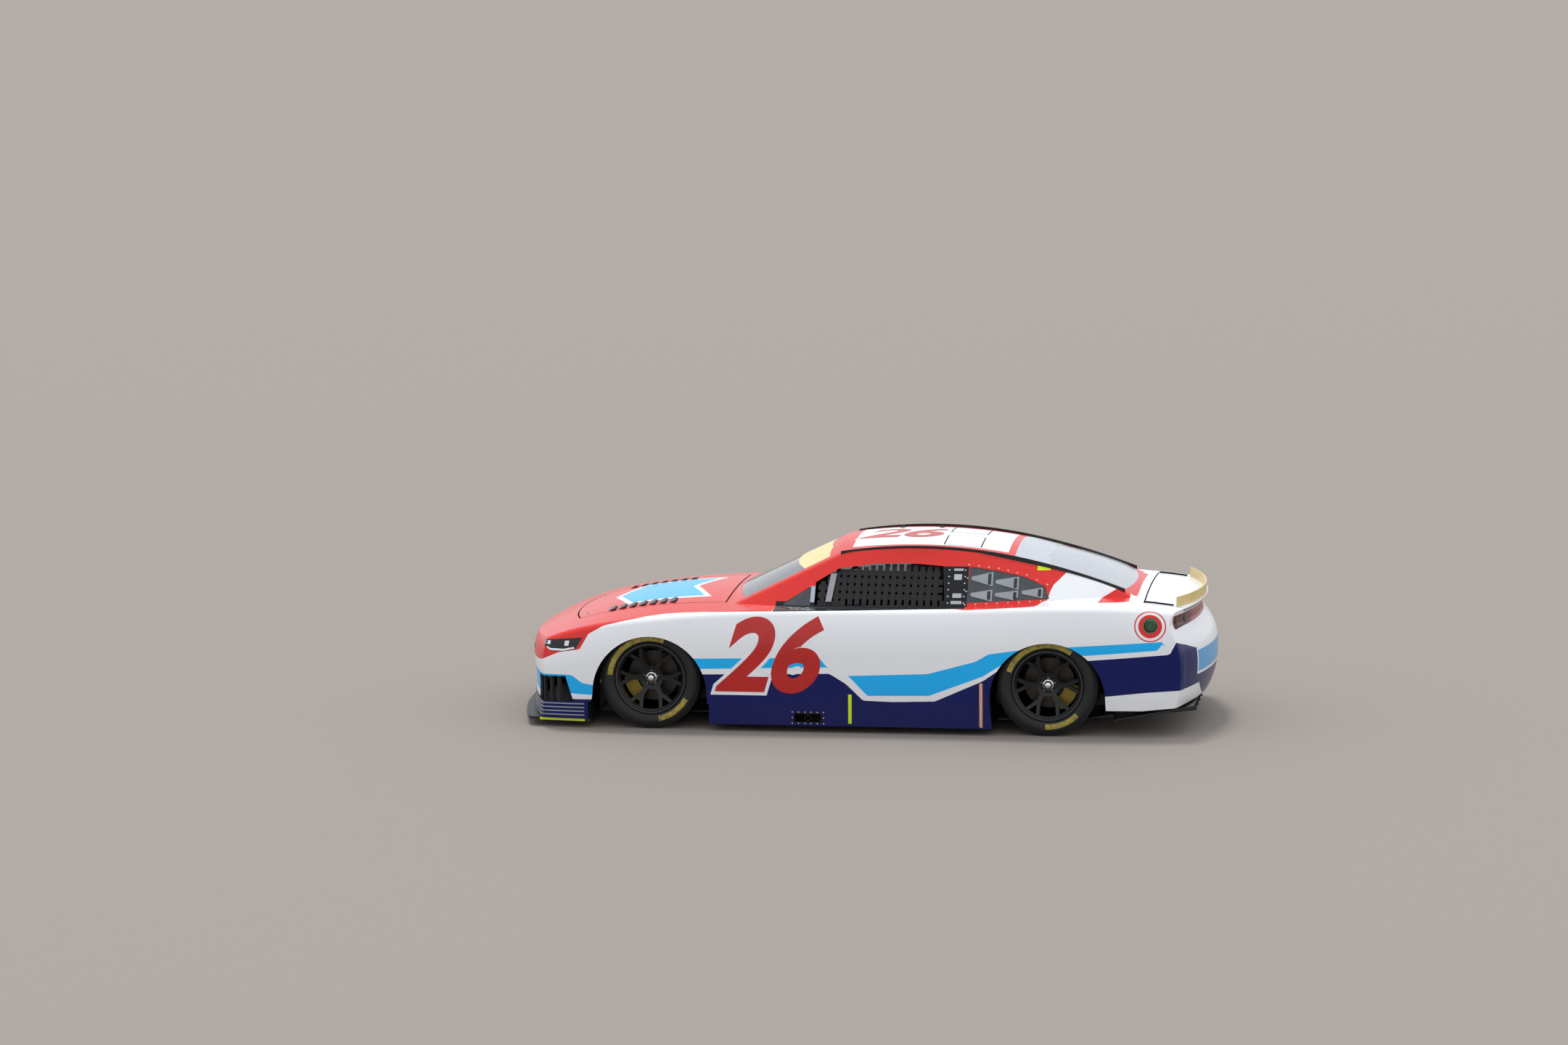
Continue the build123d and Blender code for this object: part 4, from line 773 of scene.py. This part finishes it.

# %% [markdown]
# ## Hood louvers
# Hot air leaves the radiator through rows of louvers on both sides of the hood. Each is a small curved
# blade, open at its rear, over its slot; the slot is a dark sheet on the hood, painted shade for the opening.

# %% Louver blades over a dark sheet of painted shade for each slot
LOUVER_PITCH, LOUVER_COUNT = 72, 7
LOUVER_HALF, SLOT_HALF = 66, 70
BLADE_LENGTH = 0.042
for side, side_name in SIDES:
    slots, blades = bmesh.new(), bmesh.new()
    for index in range(LOUVER_COUNT):
        middle_x, middle_y = 1355 + index * LOUVER_PITCH, side * 505
        # The slot is a dark sheet laid on the hood: painted shade for the opening under each blade.
        slot_outline = rectangle(middle_x - 26, middle_x + 26, middle_y - SLOT_HALF, middle_y + SLOT_HALF)
        shape = outline_shape(rounded(slot_outline, 6), "top")
        drape(shape, ["hood"], (0, 0, -1), 0.0008)
        pour(shape, slots)
        hit, normal = drop("hood", middle_x, middle_y)
        forward = (Vector((1, 0, 0)) - normal * normal.x).normalized()
        turn = Matrix((forward, normal.cross(forward), normal)).transposed().to_4x4()
        before = len(blades.verts)
        bmesh.ops.create_grid(blades, x_segments=6, y_segments=4, size=1,
                              matrix=Matrix.Diagonal((BLADE_LENGTH / 2, LOUVER_HALF * MM, 1, 1)))
        blades.verts.ensure_lookup_table()
        for vertex in blades.verts[before:]:
            rise = 0.5 - vertex.co.x / BLADE_LENGTH
            crown = 1 - 0.25 * (vertex.co.y / (LOUVER_HALF * MM)) ** 2
            vertex.co.z = 0.0022 + 0.011 * sin(rise * pi / 2) * crown
            vertex.co = Matrix.Translation(hit) @ turn @ vertex.co
    thicken(blades, 0.0012)
    finish_piece(f"louver_slot_shade_{side_name}", slots, "hood", "moulded_black_composite")
    finish_piece(f"louver_blades_{side_name}", blades, "hood", "gloss_black_alloy")

# %% [markdown]
# ## Turned parts
# Nuts, caps, rings and pins are turned on a lathe, so each is a profile spun round an axis.


# %% Spin a profile
def turned(profile, centre, axis, segments=32, shape=None):
    """Spin a profile of (radius, height) in millimetres round an axis; add it to a shape."""
    shape = shape or bmesh.new()
    piece = bmesh.new()
    points = [piece.verts.new((radius * MM, 0, height * MM)) for radius, height in profile]
    edges = [piece.edges.new(pair) for pair in zip(points, points[1:])]
    bmesh.ops.spin(piece, geom=points + edges, cent=(0, 0, 0), axis=(0, 0, 1), angle=2 * pi, steps=segments,
                   use_merge=True)
    bmesh.ops.remove_doubles(piece, verts=piece.verts[:], dist=0.00001)
    face_outwards(piece)
    turn = Vector(axis).to_track_quat("Z", "Y").to_matrix().to_4x4()
    piece.transform(Matrix.Translation(Vector(centre) * MM) @ turn)
    pour(piece, shape)
    return shape


# %% Centre nuts, drive pins and rim lips
nut_profile = [(0, 44), (9, 43.2), (17, 40), (23.5, 34.5), (28, 27), (30, 18), (30.5, 7), (35, 5), (38, 3),
               (40, 0), (40, -2)]
for corner_name, wheel_x, side, arc_turn in wheels:
    hub_face = outer_face(f"hub_{corner_name}", side) - side * 34
    nut = turned(nut_profile, (wheel_x / MM, hub_face, HUB_Z / MM), (0, side, 0), 40)
    finish_piece(f"centre_nut_{corner_name}", nut, f"wheel_{corner_name}", "polished_nut")
    pins = bmesh.new()
    for index in range(5):
        turn = 2 * pi * index / 5
        spot = (wheel_x / MM + 49 * sin(turn), hub_face - side * 2, HUB_Z / MM + 49 * cos(turn))
        turned([(0, 6), (4, 6), (5, 5), (5, 0)], spot, (0, side, 0), 14, pins)
    finish_piece(f"drive_pins_{corner_name}", pins, f"wheel_{corner_name}", "turned_steel")
    rim_face = outer_face(f"rim_{corner_name}", side)
    lip = turned([(238, -1), (239.5, 1), (242, 1.6), (244.5, 1), (245.5, -1)],
                 (wheel_x / MM, rim_face, HUB_Z / MM), (0, side, 0), 96)
    finish_piece(f"rim_lip_{corner_name}", lip, f"wheel_{corner_name}", "worn_rim_lip")

# %% Fuel filler valve in its cup
filler_floor = outer_face("fuel_port", 1) - 30
valve = turned([(0, 12), (9, 12), (11, 9), (18, 9), (20, 4), (27, 4), (29, 14), (36, 14), (38, 3), (44.5, 1)],
               (FILLER_X, filler_floor, FILLER_Z), (0, 1, 0), 40)
finish_piece("filler_valve", valve, "chassis", "green_filler_valve")

# %% [markdown]
# ## Window net and posts
# The driver's window has no glass: a net of black webbing closes it. Webbing straps cross over and
# under one another, so the upright ones lie a little further out than the level ones. The right door
# has a pane of the same shape, so rays meet that pane and the result is mirrored to the left.


# %% Straps that follow the window
def window_strip(shape, points, half_width, lift, upright):
    """Add a strap along points (x, z) on the left window's surface."""
    pairs = []
    for a, b in points:
        pair = []
        for offset in (half_width, -half_width):
            x_at, z_at = (a + offset, b) if upright else (a, b + offset)
            hit, normal = touch(["side_windows"], (x_at * MM, -RAY_START, z_at * MM), (0, 1, 0))
            if hit is not None and hit.y < 0:
                away = Vector((normal.x, -normal.y, normal.z))
                pair.append(Vector((hit.x, -hit.y, hit.z)) + away * lift * MM)
        pairs.append(pair)
    add_band(shape, pairs)


low_corner, high_corner = (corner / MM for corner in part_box("window_net"))
net = bmesh.new()
STRAP_PITCH, STRAP_HALF = 50, 17
for index in range(int((high_corner.x - low_corner.x) / STRAP_PITCH) + 1):
    x_at = low_corner.x + STRAP_HALF + 4 + index * STRAP_PITCH
    heights = [low_corner.z + 4 + step * 12 for step in range(int((high_corner.z - low_corner.z) / 12) + 1)]
    window_strip(net, [(x_at, z_at) for z_at in heights], STRAP_HALF, -9.0, True)
for index in range(int((high_corner.z - low_corner.z) / STRAP_PITCH) + 1):
    z_at = low_corner.z + STRAP_HALF + 4 + index * STRAP_PITCH
    places = [low_corner.x + 4 + step * 20 for step in range(int((high_corner.x - low_corner.x) / 20) + 1)]
    window_strip(net, [(x_at, z_at) for x_at in places], STRAP_HALF, -11.5, False)
loose = [vertex for vertex in net.verts if not vertex.link_faces]
bmesh.ops.delete(net, geom=loose, context="VERTS")
face_towards(net, Vector((0, 1, 0)))
strap_area = sum(face.calc_area() for face in net.faces)
thicken(net, -0.0016)
webbing = finish_piece("window_webbing", net, "chassis", "black_net_webbing")
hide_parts("window_net")

# The grey post at the front of the opening stands just outside the net.
for side, side_name in SIDES:
    post = bmesh.new()
    window_strip(post, [(222 - 0.14 * (z_at - 900), z_at) for z_at in range(896, 1112, 12)], 21, 1.5, True)
    if side < 0:
        bmesh.ops.transform(post, matrix=Matrix.Diagonal((1, -1, 1, 1)), verts=post.verts)
        bmesh.ops.reverse_faces(post, faces=post.faces)
    for face in post.faces:
        face.normal_update()
    thicken(post, 0.003)
    face_outwards(post)
    finish_piece(f"window_post_{side_name}", post, "chassis", "grey_powder_coat")

# %% [markdown]
# ## Seat pads and harness
# The seat is a stiff shell, and its padding is separate cushions. A cushion is a closed form that is
# crowned in the middle, pulled in along its sides, and flat where it rests on the shell.


# %% Cushions on the seat shell
def cushion(name, centre, along, size, crown):
    """A crowned pad: size is its length and width in millimetres, and its length runs along a direction."""
    along, across = Vector(along).normalized(), Vector((0, 1, 0))
    facing = along.cross(across)
    steps_u, steps_v = 26, 14
    shape = bmesh.new()
    bmesh.ops.create_cube(shape, size=2)
    for axis, count in ((0, steps_u), (1, steps_v)):
        for step in range(1, count):
            normal = Vector((axis == 0, axis == 1, 0))
            cut(shape, normal * (2 * step / count - 1), normal)
    for vertex in shape.verts:
        u, v, w = vertex.co
        dome = (max(0, 1 - abs(u) ** 6) * max(0, 1 - abs(v) ** 4)) ** 0.5
        channel = 1 - 0.16 * (0.5 + 0.5 * cos(6 * pi * u)) ** 12
        height = crown * (0.15 + 0.85 * dome) * channel if w > 0 else 0
        length = size[0] / 2 * u * (1 - 0.035 * (1 - v * v))
        width = size[1] / 2 * v * (1 - 0.05 * (1 - u * u))
        vertex.co = Vector(centre) * MM + (along * length + across * width + facing * height) * MM
    face_outwards(shape)
    pad = finish_piece(name, shape, "chassis", "seat_pad_fabric")
    smoothing = pad.modifiers.new("smoothing", "SUBSURF")
    smoothing.levels = smoothing.render_levels = 1


DRIVER_Y = 330
seat_rows = [
    # name, centre (x, z), direction along the pad (x, z), length, width, crown
    ("seat_bottom_pad", (-105, 259), (450, 85), 400, 360, 34),
    ("seat_back_pad", (-471, 635), (145, -750), 640, 360, 34),
    ("seat_head_pad", (-519, 1062), (0, -1), 120, 260, 26),
]
for name, (mid_x, mid_z), (run_x, run_z), length, width, crown in seat_rows:
    cushion(name, (mid_x, DRIVER_Y, mid_z), (run_x, 0, run_z), (length, width), crown)


# %% Harness laid over the pads
def ribbon(shape, points, half_width, across=(0, 1, 0)):
    """Add a strap through points in millimetres."""
    add_band(shape, [[(Vector(point) + Vector(across) * half_width * sign) * MM for sign in (1, -1)]
                     for point in points])


def eased(points, steps=5):
    """Points of a smooth path through the given ones, by Catmull-Rom."""
    chain = [Vector(p) for p in (points[0], *points, points[-1])]
    path = []
    for a, b, c, d in zip(chain, chain[1:], chain[2:], chain[3:]):
        for step in range(steps):
            t = step / steps
            path.append(0.5 * (2 * b + (c - a) * t + (2 * a - 5 * b + 4 * c - d) * t ** 2
                               + (3 * b - a - 3 * c + d) * t ** 3))
    return path + [chain[-1]]


belts = bmesh.new()
for sign in (1, -1):
    shoulder = [(-512, DRIVER_Y + 78 * sign, 985), (-486, DRIVER_Y + 78 * sign, 930),
                (-432, DRIVER_Y + 70 * sign, 660), (-392, DRIVER_Y + 48 * sign, 440),
                (-330, DRIVER_Y + 30 * sign, 330), (-262, DRIVER_Y + 24 * sign, 292)]
    ribbon(belts, eased(shoulder), 34)
    lap = [(-395, DRIVER_Y + 185 * sign, 300), (-340, DRIVER_Y + 150 * sign, 296),
           (-270, DRIVER_Y + 80 * sign, 290), (-240, DRIVER_Y + 20 * sign, 288)]
    ribbon(belts, eased(lap), 26, across=(0.5, 0, 0.86))
belt_area = sum(face.calc_area() for face in belts.faces)
thicken(belts, 0.0018)
face_outwards(belts)
harness = finish_piece("harness", belts, "chassis", "harness_webbing")
buckle = turned([(0, 16), (20, 16), (24, 13), (34, 10), (36, 4), (36, 0), (0, 0)], (-246, DRIVER_Y, 289),
                (0.45, 0, 0.9), 40)
finish_piece("harness_buckle", buckle, "chassis", "turned_steel")

# %% Steering wheel centre and its buttons
WHEEL_RAKE = radians(22)
toward_driver = Vector((-cos(WHEEL_RAKE), 0, sin(WHEEL_RAKE)))
wheel_up = Vector((sin(WHEEL_RAKE), 0, cos(WHEEL_RAKE)))
wheel_middle = Vector((215, DRIVER_Y, 800))
button_rows = [
    # name, place across and up in millimetres, radius, height, finish
    ("wheel_centre_pad", 0, 0, 34, 9, "rubber_grip"),
    ("wheel_button_red", 26, 22, 8, 14, "red_vinyl"),
    ("wheel_button_white", -26, 22, 8, 14, "white_vinyl"),
    ("wheel_button_green", 26, -20, 8, 14, "green_filler_valve"),
    ("wheel_button_yellow", -26, -20, 8, 14, "yellow_vinyl"),
]
hub_hit = touch(["steering_wheel"], wheel_middle * MM + toward_driver, -toward_driver)[0]
for name, out, rise, radius, height, finish_name in button_rows:
    spot = hub_hit / MM + Vector((0, 1, 0)) * out + wheel_up * rise - toward_driver * 2
    profile = [(0, height), (radius * 0.7, height), (radius, height - 3), (radius + 1, 0), (0, 0)]
    finish_piece(name, turned(profile, spot, toward_driver, 28), "steering_wheel", finish_name)

# %% Hood pins, roof stubs and the fins under the corner ducts
for side, side_name in SIDES:
    hit, normal = drop("hood", 1990, side * 400)
    pin = turned([(0, 9), (4, 9), (5.5, 7), (5.5, 2.5), (15, 2), (16, 0), (15, -1)], hit / MM, normal, 28)
    finish_piece(f"hood_pin_{side_name}", pin, "hood", "turned_steel")
    for index in range(4):
        low_z = 90 + index * 27
        skin_strip(f"corner_fin_{index}_{side_name}", "front_fascia",
                   [((0, 0, low_z), (0, 0, -1)), ((0, 0, low_z + 9), (0, 0, 1)), ((1925, 0, 0), (-1, 0, 0)),
                    ((0, side * 640, 0), (0, -side, 0))], (0.5, side * 0.85, 0), 0.003,
                   "ribbed_duct_plastic")
for name, stub_x, stub_y, height in (("roof_stub_front", -172, -395, 26), ("roof_stub_rear", -455, -385, 34)):
    hit, normal = drop("greenhouse", stub_x, stub_y)
    # The solids' box is the car's height, so a stub ends just below it.
    height = min(height, (cad_high[2] - hit.z) / MM - 2)
    print(name, "height", round(height, 1))
    stub = turned([(0, height), (8, height), (11, height - 4), (12, 6), (20, 3), (21, 0), (20, -1)], hit / MM,
                  normal, 24)
    finish_piece(name, stub, "chassis", "moulded_black_composite")

# %% Splash panels that close the car's middle from its wheels, each with a pressed field
for row_name, limits in (("front", (1560, 1880, 250, 560)), ("rear", (-1290, -1020, 180, 480))):
    for side, side_name in SIDES:
        panel = outline_shape(rounded(rectangle(*limits), 30), "side")
        outer_verts = set(panel.verts)
        bmesh.ops.inset_region(panel, faces=panel.faces[:], thickness=0.025, depth=0)
        for vertex in panel.verts:
            vertex.co.y += side * (0.402 + (0 if vertex in outer_verts else 0.006))
        thicken(panel, 0.0015)
        face_outwards(panel)
        finish_piece(f"splash_panel_{row_name}_{side_name}", panel, "chassis", "moulded_black_composite")

# %% Exhaust pipes in their outlets, and dark strips along the deck's side seams: painted shade for the gaps between the lid and the quarters
outlet_low, outlet_high = (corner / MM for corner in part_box("exhausts"))
for side, side_name in SIDES:
    outlet = ((outlet_low.x + outlet_high.x) / 2, side * (outlet_high.y - 6),
              (outlet_low.z + outlet_high.z) / 2)
    pipe = turned([(20, -50), (20, 0), (24, 0), (24, -50), (20, -50)], outlet, (0, side, 0), 40)
    finish_piece(f"exhaust_pipe_{side_name}", pipe, "chassis", "turned_iron_and_steel")
    # A dark strip stands along each side seam of the deck lid: painted shade for the gap between the lid and
    # the quarter.
    pairs = []
    for x_at in range(-1990, -2205, -20):
        for y_at in range(800, 400, -4):
            hit, normal = drop("deck_lid", x_at, side * y_at)
            if hit is not None and normal.z > 0.8:
                break
        foot = hit + Vector((0, -side * 0.010, -0.001))
        pairs.append((foot, foot + Vector((0, 0, 0.013))))
    seam = bmesh.new()
    add_band(seam, pairs)
    thicken(seam, 0.003)
    face_outwards(seam)
    finish_piece(f"deck_seam_shade_{side_name}", seam, "deck_lid", "seam_shade_strip")

# %% [markdown]
# ## Light, floor and camera
# A pale floor and an even sky show the paint as it is, and one soft sun gives the shape. The camera
# stands where the photographer stood: far off, with a long lens, a little behind the car's middle.

# %% Stage
floor_mesh = bmesh.new()
bmesh.ops.create_grid(floor_mesh, x_segments=1, y_segments=1, size=300)
mesh = bpy.data.meshes.new("floor")
floor_mesh.to_mesh(mesh)
floor_mesh.free()
floor = bpy.data.objects.new("floor", mesh)
bpy.context.scene.collection.objects.link(floor)
tree, shader, place = new_finish("pale_floor")
shader.inputs["Base Color"].default_value = linear("#958D86")
shader.inputs["Roughness"].default_value = 0.9
mesh.materials.append(finishes["pale_floor"])
floor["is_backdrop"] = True

world = bpy.data.worlds.new("studio")
bpy.context.scene.world = world
world.use_nodes = True
world.node_tree.nodes["Background"].inputs["Color"].default_value = linear("#F4F6FA")
world.node_tree.nodes["Background"].inputs["Strength"].default_value = 1.05
sun = bpy.data.lights.new("sun", "SUN")
sun.energy = 1.3
sun.angle = radians(12)
sun_object = bpy.data.objects.new("sun", sun)
sun_object.rotation_euler = (Vector((0.25, -0.35, 1.25))).to_track_quat("Z", "Y").to_euler()
bpy.context.scene.collection.objects.link(sun_object)

# %% Camera
AZIMUTH, ELEVATION, ROLL = radians(7.6), radians(8.2), radians(-0.245)
DISTANCE = 45.0
FOCAL_PIXELS, PHOTO_WIDTH = 8717.3, 2161
target = Vector((0.6356, 0, 1.3391))
back = Vector((-sin(AZIMUTH) * cos(ELEVATION), cos(AZIMUTH) * cos(ELEVATION), sin(ELEVATION)))
right = (-back).cross(Vector((0, 0, 1))).normalized()
up = right.cross(-back)
rolled_right = right * cos(ROLL) + up * sin(ROLL)
rolled_up = up * cos(ROLL) - right * sin(ROLL)
camera_data = bpy.data.cameras.new("camera")
camera_data.sensor_width = 36
camera_data.lens = camera_data.sensor_width * FOCAL_PIXELS / PHOTO_WIDTH
camera_data.clip_end = 1000
camera = bpy.data.objects.new("camera", camera_data)
turn = Matrix((rolled_right, rolled_up, back)).transposed().to_4x4()
camera.matrix_world = Matrix.Translation(target + back * DISTANCE) @ turn
bpy.context.scene.collection.objects.link(camera)
bpy.context.scene.camera = camera
bpy.context.scene.view_settings.view_transform = "Standard"
print("camera at", [round(v, 2) for v in camera.matrix_world.translation])

# %% Finish
low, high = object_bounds()
